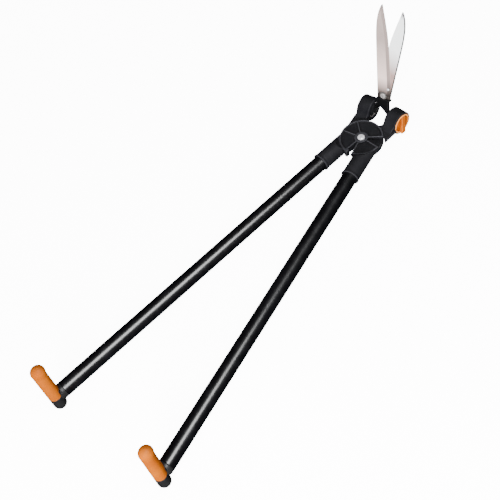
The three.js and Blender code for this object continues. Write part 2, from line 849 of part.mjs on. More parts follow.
function drumPin() {
  const end = Math.sqrt(drumRadius ** 2 - drum.pinRadius ** 2) - gap;
  return solid(rod(drum.pinRadius, -end, end));
}

function headHalf(side) {
  const word = side === RIGHT ? 'front' : 'rear';
  const place = side === RIGHT ? 'right' : 'left';
  const bladeGroup = halfHead(side, 0, headReach);
  bladeGroup.rotation.z = bladeSwing;
  add(bladeGroup, `${word}_blade`, bladeShape(side), 'blade');
  if (side === RIGHT) add(bladeGroup, 'blade_stud', studShape(), 'steel');
  add(bladeGroup, `${word}_tang`, tangShape(), 'plastic');
  const ringGroup = halfHead(side, ringSide);
  add(ringGroup, `${place}_bush`, bushShape(), 'bushGrey');
  add(ringGroup, `${place}_drum`, drumShape(), 'plastic');
  add(ringGroup, `${place}_drum_pin`, drumPin(), 'steel');
}

headHalf(RIGHT);
headHalf(LEFT);

// Blade bolt through both blades, with its washer in front and its nut behind
const boltGroup = halfHead(RIGHT, 0, headReach);
const washerLow = gap / 2 + blade.thick + gap;
const headLow = washerLow + bladeBolt.washerThick + gap;

function bladeBoltShape() {
  const { shank, head: headRadius, headHeight, nutThick } = bladeBolt;
  return solid(turned([
    [0, -washerLow - nutThick],
    [shank, -washerLow - nutThick],
    [shank, headLow],
    ...headProfile(headRadius, headLow, headHeight),
  ], facets.tube));
}

function studShape() {
  const { across, along, shank, head: headRadius, height } = stud;
  const surface = gap / 2 + blade.thick + gap;
  const profile = [[0, gap], [shank, gap], [shank, surface], ...headProfile(headRadius, surface, height)];
  return solid(turned(profile).translate(across, along, 0));
}

add(boltGroup, 'blade_bolt', bladeBoltShape(), 'steel');
add(boltGroup, 'blade_washer', solid(washer(
  bladeBolt.shank + gap, bladeBolt.washer, washerLow, washerLow + bladeBolt.washerThick, facets.tube)), 'steel');
add(boltGroup, 'blade_nut', hexNut(
  bladeBolt.nutRadius, bladeBolt.shank + gap, -washerLow - bladeBolt.nutThick + gap, -washerLow), 'steel');

// Tilt lock on the right ring: knob with a wing and a tab, its spindle and the spring washer under it

// Dish that lies in the ring, its floor below its rim, with a wing across it
function knobShape() {
  const { radius, thick, floor, rimWidth, edge } = knob;
  const face = knobBase + thick;
  const dish = alongX(turned([
    [0, knobBase],
    [radius, knobBase],
    [radius, face - edge],
    [radius - edge, face],
    [radius - rimWidth, face],
    [radius - rimWidth - edge, knobBase + floor],
    [0, knobBase + floor],
  ], facets.ring));
  const pocket = alongX(rod(
    springWasher.outer + gap, knobBase - overrun, knobBase + springWasher.thick + gap, facets.tube));
  const hole = alongX(rod(spindle.radius + gap, knobBase - overrun, spindle.tip + spindle.length + knob.travel + gap));
  return cut(joined(dish, knobWing(face)), pocket, hole);
}

// The wing is low at its upper end and stands out at its lower end, as a tab for the thumb
function knobWing(face) {
  const { wingLength, wingWidth, wingHeight, tilt } = knob;
  const half = wingLength / 2;
  const side = wingShares.map(([along, up]) => [face + up * wingHeight, along * half]);
  return plate(outline(side), -wingWidth / 2, wingWidth / 2).rotateX(Math.PI / 2 - tilt);
}

function inRingGroup(name, shape, finishName, parent) {
  const group = new THREE.Group();
  const swing = linkage.ringSwing;
  group.position.set(linkage.armReach * Math.sin(swing), linkage.armReach * Math.cos(swing), ring.lift);
  group.rotation.z = linkage.closedHalfAngle;
  parent.add(group);
  return add(group, name, shape, finishName);
}

inRingGroup('lock_knob', knobShape(), 'knobOrange', leftHandle);
inRingGroup('lock_spindle', solid(alongX(rod(
  spindle.radius, spindle.tip, spindle.tip + spindle.length))), 'steel', leftHandle);
inRingGroup('lock_spring_washer', solid(alongX(washer(
  springWasher.inner, springWasher.outer, knobBase, knobBase + springWasher.thick, facets.tube))), 'steel', leftHandle);

// Lay the shears down: both ring undersides and both grip undersides at one height, bottom centre at the origin

const dropHeight = ring.lift - (grip.bottom + grip.radius);
const gripFront = -(tube.end + grip.setback) * Math.cos(linkage.restHalfAngle) + tube.offset * Math.sin(linkage.restHalfAngle);
const dropLength = ringFront - gripFront;
const radiusStep = ring.radius - grip.radius;
const span = Math.hypot(dropHeight, dropLength);
frame.rotation.x = -(Math.acos(radiusStep / span) - Math.atan2(dropLength, dropHeight));
shears.updateMatrixWorld(true);

const reach = new THREE.Box3().setFromObject(shears, true);
frame.position.set(0, -(reach.min.y + reach.max.y) / 2, -reach.min.z);
shears.updateMatrixWorld(true);

export default shears;
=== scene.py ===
"""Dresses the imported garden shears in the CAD's frame: castings, tubes, grips, cutting head and tilt lock."""

from __future__ import annotations

import json
import logging
import math
from dataclasses import dataclass
from enum import Enum
from typing import Callable, Sequence

import bmesh
import bpy
from mathutils import Euler, Matrix, Vector


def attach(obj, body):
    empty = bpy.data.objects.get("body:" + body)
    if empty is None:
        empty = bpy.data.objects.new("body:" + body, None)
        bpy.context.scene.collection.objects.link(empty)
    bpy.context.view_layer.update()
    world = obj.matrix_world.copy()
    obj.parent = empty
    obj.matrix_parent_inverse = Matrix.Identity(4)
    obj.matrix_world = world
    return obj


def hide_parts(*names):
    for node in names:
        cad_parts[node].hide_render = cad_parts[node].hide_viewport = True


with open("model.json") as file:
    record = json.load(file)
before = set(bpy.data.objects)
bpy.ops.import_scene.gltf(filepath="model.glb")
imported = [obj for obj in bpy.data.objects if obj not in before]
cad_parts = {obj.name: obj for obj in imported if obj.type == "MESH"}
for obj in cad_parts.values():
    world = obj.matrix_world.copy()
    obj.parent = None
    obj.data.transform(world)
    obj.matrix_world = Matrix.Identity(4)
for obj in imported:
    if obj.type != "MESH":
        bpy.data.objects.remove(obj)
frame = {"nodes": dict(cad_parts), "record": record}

LOG = logging.getLogger("shears")
MM = 0.001
TAU = 2.0 * math.pi

Colour = tuple[float, float, float]
Point = tuple[float, float, float]
Pair = tuple[float, float]
Profile = list[Pair]
Shares = tuple[Pair, ...]
Socket = bpy.types.NodeSocket

# How machines and moulds finish an edge
ROUND_FROM = math.radians(38.0)
ROUND_STEPS = 2
CORNER_SHARE = 1.0 - math.sqrt(0.5)
SKIN_SMOOTHING = 0.5
SKIN_SHARP = 60.0

# Turns a side view of [along, height] into the ring's directions, with its thickness along the ring's axis
SIDE_VIEW = Matrix(((0, 0, 1, 0), (1, 0, 0, 0), (0, 1, 0, 0), (0, 0, 0, 1)))
# Lay a turned piece's own axis along a ring's axis, towards the grips, or towards the head
ALONG_X = Matrix.Rotation(math.pi / 2.0, 4, "Y")
TO_GRIPS = Matrix.Rotation(math.pi / 2.0, 4, "X")
TO_HEAD = Matrix.Rotation(-math.pi / 2.0, 4, "X")


class Side(Enum):
    """The two handles: which way each one's tube lies, and the layer of its half disc."""

    LEFT = -1
    RIGHT = 1

    @property
    def word(self) -> str:
        """Name of the side as the CAD's nodes have it."""
        return self.name.lower()

    @property
    def layer(self) -> int:
        """1 where the half disc lies in front, -1 where it lies behind."""
        return -self.value

    @property
    def body(self) -> str:
        """Body that this handle's pieces ride on."""
        return f"{self.word}_handle"


class Half(Enum):
    """The two halves of the cutting head, and the ring that each one hangs in."""

    FRONT = "right"
    REAR = "left"

    @property
    def word(self) -> str:
        """Name of the half as the CAD's nodes have it."""
        return self.name.lower()

    @property
    def turned(self) -> Matrix:
        """The rear half is the front one turned half round."""
        return Matrix.Rotation(0.0 if self is Half.FRONT else math.pi, 4, "Y")

    @property
    def sign(self) -> int:
        """1 for the half in the right ring, -1 for the one in the left ring."""
        return 1 if self is Half.FRONT else -1

    @property
    def bush_body(self) -> str:
        """Body that this half's bush rides on."""
        return "right_bush" if self is Half.FRONT else "head_yaw"

    @property
    def drum_body(self) -> str:
        """Body that this half's drum rides on."""
        return "right_drum" if self is Half.FRONT else "head_tilt"


@dataclass(frozen=True)
class Linkage:
    """Lengths and angles of the handles, rings and blades, in millimetres and radians."""

    arm_reach: float = 76.8
    tang_reach: float = 55.4
    ring_swing: float = math.radians(17.3)
    closed_half: float = math.radians(3.75)
    rest_half: float = math.radians(8.165)
    head_tilt: float = math.radians(73.0)
    open_travel: float = math.radians(18.0)
    ring_lift: float = 4.0

    @property
    def rest_arm(self) -> float:
        """Angle of a ring from the middle, as the shears lie."""
        return self.ring_swing + self.rest_half

    @property
    def closed_tang(self) -> float:
        """Angle of a tang from the middle with the blades closed."""
        return math.asin(self.arm_reach * math.sin(self.ring_swing + self.closed_half) / self.tang_reach)

    @property
    def rest_tang(self) -> float:
        """Angle of a tang from the middle, as the shears lie."""
        return math.asin(self.arm_reach * math.sin(self.rest_arm) / self.tang_reach)

    @property
    def blade_swing(self) -> float:
        """How far each blade is open, as the shears lie."""
        return self.rest_tang - self.closed_tang


class Layout:
    """Where the CAD's own directions lie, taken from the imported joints."""

    def __init__(self, linkage: Linkage) -> None:
        """Reads the main pivot's place and axis.

        Args:
            linkage: lengths of the linkage.
        """
        joints = {joint["name"]: joint for joint in frame["record"]["behaviour"]["joints"]}
        hinge = joints["handle_hinge"]
        self.linkage = linkage
        self.pivot = Vector(hinge["pos_m"])
        self.lie = -math.asin(Vector(hinge["axis"]).normalized().y)

    def lying(self) -> Matrix:
        """The shears' own directions as they lie on the floor, in metres."""
        return Matrix.Translation(self.pivot) @ Matrix.Rotation(self.lie, 4, "X")

    def whole(self) -> Matrix:
        """The shears' own directions, from millimetres."""
        return self.lying() @ Matrix.Scale(MM, 4)

    def handle(self, side: Side) -> Matrix:
        """From a handle's own millimetres to the frame; the right handle's directions are mirrored."""
        turned = self.whole() @ Matrix.Rotation(side.value * self.linkage.rest_half, 4, "Z")
        return turned if side is Side.LEFT else turned @ Matrix.Diagonal((-1, 1, 1, 1))

    def in_handle(self) -> Matrix:
        """A ring's own directions in its handle: x along its axis, y away from the main pivot, z up.

        Returns:
            Matrix from the ring's millimetres to the handle's.
        """
        swing = self.linkage.ring_swing
        reach = self.linkage.arm_reach
        centre = Vector((reach * math.sin(swing), reach * math.cos(swing), self.linkage.ring_lift))
        return Matrix.Translation(centre) @ Matrix.Rotation(self.linkage.closed_half, 4, "Z")

    def ring(self, side: Side) -> Matrix:
        """From the millimetres of the ring that a handle carries to the frame."""
        return self.handle(side) @ self.in_handle()

    def head(self) -> Matrix:
        """Directions of the tilted cutting head, with its origin on the rings' common line.

        Returns:
            Matrix from the head's millimetres to the frame.
        """
        front = self.linkage.arm_reach * math.cos(self.linkage.rest_arm)
        middle = Matrix.Translation((0.0, front, self.linkage.ring_lift))
        return self.whole() @ middle @ Matrix.Rotation(self.linkage.head_tilt, 4, "X")

    def in_ring(self, half: Half) -> Matrix:
        """From the millimetres of one half's drum and bush to the frame."""
        side = half.sign * self.linkage.arm_reach * math.sin(self.linkage.rest_arm)
        return self.head() @ Matrix.Translation((side, 0.0, 0.0)) @ half.turned

    def at_bolt(self, half: Half) -> Matrix:
        """From one half's millimetres at the blade bolt to the frame, with the blade not yet swung open."""
        up = self.linkage.tang_reach * math.cos(self.linkage.rest_tang)
        return self.head() @ Matrix.Translation((0.0, up, 0.0)) @ half.turned

    def blade(self, half: Half) -> Matrix:
        """From one blade's millimetres to the frame, its length along y."""
        return self.at_bolt(half) @ Matrix.Rotation(self.linkage.blade_swing, 4, "Z")


class Shells:
    """Closed shells of points and faces, in millimetres until they are placed."""

    def __init__(self) -> None:
        """Starts with no shell."""
        self.points: list[Vector] = []
        self.faces: list[tuple[int, ...]] = []

    def _keep(self, points: Sequence[Vector], place: Matrix | None) -> list[int]:
        """Adds points and returns their numbers.

        Args:
            points: new points.
            place: matrix that puts them in place.

        Returns:
            Numbers of the new points.
        """
        first = len(self.points)
        self.points += [place @ point if place else point.copy() for point in points]
        return list(range(first, len(self.points)))

    def rows(self, rows: Sequence[Sequence[Vector]], place: Matrix | None = None, ring: bool = False) -> None:
        """Joins rows of points into one closed shell.

        Args:
            rows: rows of equally many points, each row a closed loop.
            place: matrix that puts them in place.
            ring: whether the last row joins the first, in place of a face at each end.
        """
        numbers = [self._keep(row, place) for row in rows]
        pairs = list(zip(numbers, numbers[1:])) + ([(numbers[-1], numbers[0])] if ring else [])
        for lower, upper in pairs:
            for step in range(len(lower)):
                after = (step + 1) % len(lower)
                self.faces.append((lower[step], lower[after], upper[after], upper[step]))
        if not ring:
            self.faces += [tuple(reversed(numbers[0])), tuple(numbers[-1])]

    def lathe(self, profile: Profile, place: Matrix | None = None, sides: int = 96,
              ring: bool = False) -> None:
        """Turns a profile of radius and height round the z axis.

        Args:
            profile: radius and height of each point.
            place: matrix that puts the shell in place.
            sides: faces round the axis.
            ring: whether the profile closes on itself, as for a washer.
        """
        circles: list[list[int]] = []
        for radius, height in profile:
            count = sides if radius > MM else 1
            angles = [TAU * step / sides for step in range(count)]
            circle = [Vector((radius * math.cos(a), radius * math.sin(a), height)) for a in angles]
            circles.append(self._keep(circle, place))
        pairs = list(zip(circles, circles[1:])) + ([(circles[-1], circles[0])] if ring else [])
        for lower, upper in pairs:
            for step in range(sides):
                after = step + 1
                corners = (
                    lower[step % len(lower)],
                    lower[after % len(lower)],
                    upper[after % len(upper)],
                    upper[step % len(upper)],
                )
                face = tuple(dict.fromkeys(corners))
                if len(face) > 2:
                    self.faces.append(face)

    def prism(self, outline: Sequence[Pair], low: float, high: float, place: Matrix | None = None) -> None:
        """Raises a flat outline, its corners in order, into a plate between two heights."""
        self.rows([[Vector((x, y, height)) for x, y in outline] for height in (low, high)], place)

    def sector(self, radii: Pair, angles: Pair, heights: Pair, steps: int = 72) -> None:
        """Part of a flat ring between two angles.

        Args:
            radii: inner and outer radius.
            angles: first and last angle.
            heights: underside and top.
            steps: faces along the arc.
        """
        (inner, outer), (low, high) = radii, heights
        corners = [(inner, low), (outer, low), (outer, high), (inner, high)]
        rows = []
        for step in range(steps + 1):
            angle = angles[0] + (angles[1] - angles[0]) * step / steps
            rows.append([Vector((r * math.cos(angle), r * math.sin(angle), height)) for r, height in corners])
        self.rows(rows)

    def block(self, x: Pair, y: Pair, z: Pair, place: Matrix | None = None) -> None:
        """Adds a box between its lowest and highest x, y and z."""
        self.prism([(x[0], y[0]), (x[1], y[0]), (x[1], y[1]), (x[0], y[1])], z[0], z[1], place)

    def rod(self, radius: float, low: float, high: float, place: Matrix | None = None) -> None:
        """Adds a round bar along the z axis between two heights."""
        self.lathe([(0.0, low), (radius, low), (radius, high), (0.0, high)], place)

    def take(self, mesh: bpy.types.Mesh, place: Matrix) -> None:
        """Takes over a closed mesh, which is then removed.

        Args:
            mesh: the mesh, in millimetres.
            place: matrix that puts it in place.
        """
        numbers = self._keep([vertex.co for vertex in mesh.vertices], place)
        self.faces += [tuple(numbers[corner] for corner in face.vertices) for face in mesh.polygons]
        bpy.data.meshes.remove(mesh)

    def mesh(self, name: str) -> bpy.types.Mesh:
        """Makes a mesh of all shells, with its faces outwards.

        Args:
            name: name of the mesh.

        Returns:
            The new mesh, in millimetres.
        """
        made = bpy.data.meshes.new(name)
        made.from_pydata([tuple(point) for point in self.points], [], self.faces)
        shape = bmesh.new()
        shape.from_mesh(made)
        bmesh.ops.remove_doubles(shape, verts=shape.verts, dist=MM)
        bmesh.ops.recalc_face_normals(shape, faces=shape.faces)
        shape.to_mesh(made)
        shape.free()
        return made


def linked(name: str, mesh: bpy.types.Mesh) -> bpy.types.Object:
    """Puts a mesh into the scene as an object at the origin.

    Args:
        name: name of the object.
        mesh: its mesh.

    Returns:
        The new object.
    """
    made = bpy.data.objects.new(name, mesh)
    bpy.context.scene.collection.objects.link(made)
    return made


def applied(source: bpy.types.Object) -> bpy.types.Mesh:
    """Turns an object with its modifiers into a plain mesh and removes the object.

    Args:
        source: object with live modifiers.

    Returns:
        The evaluated mesh.
    """
    graph = bpy.context.evaluated_depsgraph_get()
    made = bpy.data.meshes.new_from_object(source.evaluated_get(graph), depsgraph=graph)
    bpy.data.objects.remove(source)
    return made


def carved(name: str, shells: Shells, *tools: Shells) -> bpy.types.Mesh:
    """Cuts shells out of others.

    Args:
        name: name of the result.
        shells: what is cut.
        tools: what is cut away, one after the other.

    Returns:
        The cut mesh, in millimetres.
    """
    rough = linked(name, shells.mesh(name))
    helpers = []
    for number, tool in enumerate(tools):
        helper = linked(f"{name}_tool", tool.mesh(f"{name}_tool"))
        helpers.append(helper)
        cut = rough.modifiers.new(f"Cut{number}", "BOOLEAN")
        cut.operation = "DIFFERENCE"
        cut.solver = "EXACT"
        cut.use_self = True
        cut.object = helper
    mesh = applied(rough)
    for helper in helpers:
        bpy.data.objects.remove(helper)
    return mesh


def placed(name: str, mesh: bpy.types.Mesh, place: Matrix, material: bpy.types.Material,
           sharp: float = 35.0) -> bpy.types.Object:
    """Puts a mesh in millimetres in its place in the frame and gives it its finish.

    Args:
        name: name of the piece.
        mesh: mesh in millimetres.
        place: matrix from its millimetres to the frame.
        material: finish of the piece.
        sharp: angle in degrees above which an edge stays sharp.

    Returns:
        The piece, at the origin, with its place in its mesh.
    """
    mesh.name = name
    mesh.transform(place)
    if place.determinant() < 0:
        mesh.flip_normals()
    mesh.shade_smooth()
    mesh.set_sharp_from_angle(angle=math.radians(sharp))
    mesh.materials.clear()
    mesh.materials.append(material)
    mesh.update()
    return linked(name, mesh)


def turned_piece(name: str, shells: Shells, place: Matrix, material: bpy.types.Material,
                 edge: float = 0.0) -> bpy.types.Object:
    """A machined piece: its shells as they are, with a small round on each sharp edge.

    Args:
        name: name of the piece.
        shells: its closed shells.
        place: matrix from its millimetres to the frame.
        material: finish of the piece.
        edge: width of the round on sharp edges, in millimetres.

    Returns:
        The piece.
    """
    rough = linked(name, shells.mesh(name))
    if edge > 0.0:
        bevel = rough.modifiers.new("Edges", "BEVEL")
        bevel.width = edge
        bevel.segments = ROUND_STEPS
        bevel.limit_method = "ANGLE"
        bevel.angle_limit = ROUND_FROM
    return placed(name, applied(rough), place, material)


def moulded_piece(name: str, shells: Shells, place: Matrix, material: bpy.types.Material, grain: float,
                  softness: int = 3, most: int = 180_000, cutters: Sequence[Shells] = ()) -> bpy.types.Object:
    """A moulded or cast piece: its shells become one skin, and its edges get the soft rounds of a mould.

    Args:
        name: name of the piece.
        shells: closed shells that overlap.
        place: matrix from its millimetres to the frame.
        material: finish of the piece.
        grain: size of the skin's faces, in millimetres.
        softness: how often the skin is smoothed.
        most: triangles that the skin may have.
        cutters: shells that are cut away first, one after the other.

    Returns:
        The piece.
    """
    rough = linked(name, carved(name, shells, *cutters) if cutters else shells.mesh(name))
    skin = rough.modifiers.new("Skin", "REMESH")
    skin.mode = "VOXEL"
    skin.voxel_size = grain * 1.0
    rounds = rough.modifiers.new("Rounds", "SMOOTH")
    rounds.factor = SKIN_SMOOTHING
    rounds.iterations = softness
    mesh = applied(rough)
    triangles = sum(len(face.vertices) - 2 for face in mesh.polygons)
    if triangles > most:
        dense = linked(name, mesh)
        fewer = dense.modifiers.new("Fewer", "DECIMATE")
        fewer.ratio = most / triangles
        mesh = applied(dense)
    return placed(name, mesh, place, material, SKIN_SHARP)


def hand_in(piece: bpy.types.Object, body: str, slot: str, *nodes: str) -> None:
    """Lets a finished piece ride on its body and stand for its CAD nodes, and reports it.

    Args:
        piece: the finished piece.
        body: body that it rides on.
        slot: name of a record slot for its finish; not used.
        nodes: CAD nodes that it stands for.
    """
    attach(piece, body)
    if nodes:
        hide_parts(*nodes)
    LOG.info("%s rides on %s with %d faces", piece.name, body, len(piece.data.polygons))


def dress_node(name: str, material: bpy.types.Material) -> None:
    """Gives a CAD node that stays its finish.

    Args:
        name: name of the node.
        material: its finish.
    """
    for slot in frame["nodes"][name].material_slots:
        slot.material = material
    LOG.info("%s keeps its CAD shape in %s", name, material.name)


class Nodes:
    """Adds nodes to a tree with short calls."""

    def __init__(self, tree: bpy.types.NodeTree) -> None:
        """Takes over a tree."""
        self.tree = tree

    def node(self, kind: str, inputs: dict[str | int, object] | None = None,
             **settings: object) -> bpy.types.Node:
        """Adds a node and fills or links its inputs.

        Args:
            kind: type of the node.
            inputs: value or socket for each input, by name or number.
            settings: the node's own settings.

        Returns:
            The new node.
        """
        made = self.tree.nodes.new(kind)
        for name, value in settings.items():
            setattr(made, name, value)
        for name, value in (inputs or {}).items():
            if isinstance(value, Socket):
                self.tree.links.new(value, made.inputs[name])
            else:
                made.inputs[name].default_value = value
        return made

    def math(self, operation: str, *values: object) -> Socket:
        """Works with one or two values, as numbers or sockets, in the way that the operation names."""
        return self.node("ShaderNodeMath", dict(enumerate(values)), operation=operation).outputs[0]


class GeometryTree(Nodes):
    """A Geometry Nodes tree with named inputs, made in millimetres."""

    def __init__(self, name: str) -> None:
        """Starts a tree with its geometry input and output.

        Args:
            name: name of the tree.
        """
        super().__init__(bpy.data.node_groups.new(name, "GeometryNodeTree"))
        self.tree.interface.new_socket(name="Geometry", in_out="INPUT", socket_type="NodeSocketGeometry")
        self.tree.interface.new_socket(name="Geometry", in_out="OUTPUT", socket_type="NodeSocketGeometry")
        self.entry = self.tree.nodes.new("NodeGroupInput")
        self.exit = self.tree.nodes.new("NodeGroupOutput")
        self.identifiers: dict[str, str] = {}

    def ask(self, name: str, kind: str) -> Socket:
        """Adds a named input.

        Args:
            name: name of the input.
            kind: last part of the socket's type, such as Float.

        Returns:
            The socket that gives the input's value in the tree.
        """
        socket = self.tree.interface.new_socket(name=name, in_out="INPUT", socket_type=f"NodeSocket{kind}")
        self.identifiers[name] = socket.identifier
        return self.entry.outputs[name]

    def finish(self, geometry: Socket) -> None:
        """Ends the tree with Realize Instances and Set Material.

        Args:
            geometry: what the tree has made.
        """
        material = self.ask("Material", "Material")
        real = self.node("GeometryNodeRealizeInstances", {"Geometry": geometry})
        inputs = {"Geometry": real.outputs["Geometry"], "Material": material}
        dressed = self.node("GeometryNodeSetMaterial", inputs)
        self.tree.links.new(dressed.outputs["Geometry"], self.exit.inputs["Geometry"])

    def run(self, base: bpy.types.Mesh, values: dict[str, object]) -> bpy.types.Mesh:
        """Runs the tree once and gives its result as a plain mesh.

        Args:
            base: mesh that the tree starts from.
            values: value of each named input.

        Returns:
            The made mesh, in millimetres.
        """
        holder = linked(base.name, base)
        modifier = holder.modifiers.new("Make", "NODES")
        modifier.node_group = self.tree
        for name, value in values.items():
            modifier[self.identifiers[name]] = value
        return applied(holder)


def tube_tree() -> GeometryTree:
    """Tree for a tube: a rectangle with rounded corners that follows a circle round the z axis.

    Returns:
        The tree.
    """
    tree = GeometryTree("tube_wall")
    radius, wall, length, edge = (tree.ask(name, "Float") for name in ("Radius", "Wall", "Length", "Edge"))
    sides = tree.ask("Sides", "Int")
    middle = tree.math("SUBTRACT", radius, tree.math("DIVIDE", wall, 2.0))
    path = tree.node("GeometryNodeCurvePrimitiveCircle", {"Resolution": sides, "Radius": middle})
    section = tree.node("GeometryNodeCurvePrimitiveQuadrilateral", {"Width": wall, "Height": length})
    rounded = tree.node("GeometryNodeFilletCurve", {"Curve": section.outputs["Curve"], "Radius": edge})
    swept = tree.node("GeometryNodeCurveToMesh",
                      {"Curve": path.outputs["Curve"], "Profile Curve": rounded.outputs["Curve"]})
    tree.finish(swept.outputs["Mesh"])
    return tree


def copies_tree() -> GeometryTree:
    """Tree that sets one shape on each point of a mesh, turned about z by the point's own angle.

    Returns:
        The tree.
    """
    tree = GeometryTree("copies_on_points")
    shape = tree.ask("Shape", "Object")
    info = tree.node("GeometryNodeObjectInfo", {"Object": shape})
    angle = tree.node("GeometryNodeInputNamedAttribute", {"Name": "angle"}, data_type="FLOAT")
    turn = tree.node("ShaderNodeCombineXYZ", {"Z": angle.outputs["Attribute"]})
    copies = tree.node("GeometryNodeInstanceOnPoints", {
        "Points": tree.entry.outputs["Geometry"],
        "Instance": info.outputs["Geometry"],
        "Rotation": turn.outputs["Vector"],
    })
    tree.finish(copies.outputs["Instances"])
    return tree


def wave_tree() -> GeometryTree:
    """Tree that bends a flat washer into even waves round the z axis.

    Returns:
        The tree.
    """
    tree = GeometryTree("wave_washer")
    waves, depth = (tree.ask(name, "Float") for name in ("Waves", "Depth"))
    place = tree.node("GeometryNodeInputPosition")
    parts = tree.node("ShaderNodeSeparateXYZ", {"Vector": place.outputs["Position"]})
    angle = tree.math("ARCTAN2", parts.outputs["Y"], parts.outputs["X"])
    rise = tree.math("MULTIPLY", tree.math("SINE", tree.math("MULTIPLY", angle, waves)), depth)
    offset = tree.node("ShaderNodeCombineXYZ", {"Z": rise})
    bent = tree.node("GeometryNodeSetPosition",
                     {"Geometry": tree.entry.outputs["Geometry"], "Offset": offset.outputs["Vector"]})
    tree.finish(bent.outputs["Geometry"])
    return tree


def marked_points(name: str, places: Sequence[Vector], angles: Sequence[float]) -> bpy.types.Mesh:
    """Mesh of loose points, each with the angle that its copy is turned by.

    Args:
        name: name of the mesh.
        places: the points, in millimetres.
        angles: angle of each one, in radians.

    Returns:
        The mesh.
    """
    made = bpy.data.meshes.new(name)
    made.from_pydata([tuple(place) for place in places], [], [])
    marks = made.attributes.new("angle", "FLOAT", "POINT")
    for mark, angle in zip(marks.data, angles):
        mark.value = angle
    return made


class Surface(Nodes):
    """A material's nodes. All patterns lie on the object's own coordinates."""

    shade_samples: int = 8
    # The mixing node's colours go by number, because several of its sockets share a name
    mix_inputs: tuple[int, int] = (6, 7)
    mix_output: int = 2

    def __init__(self, name: str) -> None:
        """Starts a material with an even shader.

        Args:
            name: name of the material.
        """
        self.material = bpy.data.materials.new(name)
        self.material.use_nodes = True
        super().__init__(self.material.node_tree)
        self.shader = next(node for node in self.tree.nodes if node.type == "BSDF_PRINCIPLED")
        self.position = self.node("ShaderNodeTexCoord").outputs["Object"]

    def set(self, **values: object) -> None:
        """Sets even values on the shader's own sockets; underscores in the names stand for spaces."""
        for name, value in values.items():
            self.shader.inputs[name.replace("_", " ")].default_value = value

    def feed(self, name: str, socket: Socket) -> None:
        """Links a socket to an input of the shader."""
        self.tree.links.new(socket, self.shader.inputs[name])

    def mapped(self, place: Matrix | None = None, scale: Sequence[float] = (1.0, 1.0, 1.0)) -> Socket:
        """The object's coordinates, turned into a piece's own directions and stretched.

        Args:
            place: the piece's directions, whose scale is left out.
            scale: stretch along each direction.

        Returns:
            Socket with the coordinates.
        """
        start = self.position
        if place:
            inputs = {"Location": place.translation, "Rotation": place.to_euler(), "Vector": start}
            start = self.node("ShaderNodeMapping", inputs, vector_type="TEXTURE").outputs["Vector"]
        return self.node("ShaderNodeMapping", {"Scale": scale, "Vector": start}).outputs["Vector"]

    def noise(self, scale: float, detail: float = 3.0, at: Socket | None = None) -> Socket:
        """Noise from 0 to 1, with so many waves in a metre and so many finer layers of detail."""
        inputs = {"Scale": scale, "Detail": detail, "Vector": at or self.position}
        return self.node("ShaderNodeTexNoise", inputs).outputs["Fac"]

    def ranged(self, value: Socket, low: float, high: float, start: float = 0.3,
               end: float = 0.7) -> Socket:
        """Spreads a value over a range.

        Args:
            value: what is spread.
            low: result at the start.
            high: result at the end.
            start: value that gives the low result.
            end: value that gives the high result.

        Returns:
            Socket with the result.
        """
        return self.node("ShaderNodeMapRange", {
            "Value": value, "From Min": start, "From Max": end, "To Min": low, "To Max": high,
        }).outputs["Result"]

    def mixed(self, share: Socket, first: Colour | Socket, second: Colour | Socket) -> Socket:
        """Mixes two colours.

        Args:
            share: 0 for the first and 1 for the second.
            first: a colour or a socket.
            second: a colour or a socket.

        Returns:
            Socket with the mixed colour.
        """
        inputs = {0: share}
        for number, colour in zip(self.mix_inputs, (first, second)):
            inputs[number] = colour if isinstance(colour, Socket) else (*colour, 1.0)
        return self.node("ShaderNodeMix", inputs, data_type="RGBA").outputs[self.mix_output]

    def placing(self, place: Matrix) -> bpy.types.Node:
        """Node whose sockets X, Y and Z are a piece's own coordinates, in metres."""
        return self.node("ShaderNodeSeparateXYZ", {"Vector": self.mapped(place)})

    def openness(self, reach: float) -> Socket:
        """Ambient occlusion: 1 on open faces and 0 in the piece's own corners, over a reach in millimetres; it
        places painted shade in those corners.
        """
        return self.node("ShaderNodeAmbientOcclusion", {"Distance": reach * MM}, only_local=True,
                         samples=self.shade_samples).outputs["AO"]

    def worn_edges(self, start: float = 0.51, end: float = 0.57) -> Socket:
        """Share that is 1 on a shape's outer edges, which start and end at these pointednesses; a highlight is
        painted there.
        """
        geometry = self.node("ShaderNodeNewGeometry")
        return self.ranged(geometry.outputs["Pointiness"], 0.0, 1.0, start, end)

    def attribute(self, name: str) -> Socket:
        """Value of a named attribute of the mesh."""
        return self.node("ShaderNodeAttribute", attribute_name=name).outputs["Fac"]

    def bumps(self, *layers: tuple[Socket, float]) -> None:
        """Stacks bumps on the shader's normal.

        Args:
            layers: height of each bump as a socket, and its depth in millimetres.
        """
        below = None
        for height, depth in layers:
            inputs = {"Height": height, "Distance": depth * MM}
            if below:
                inputs["Normal"] = below
            below = self.node("ShaderNodeBump", inputs).outputs["Normal"]
        self.feed("Normal", below)


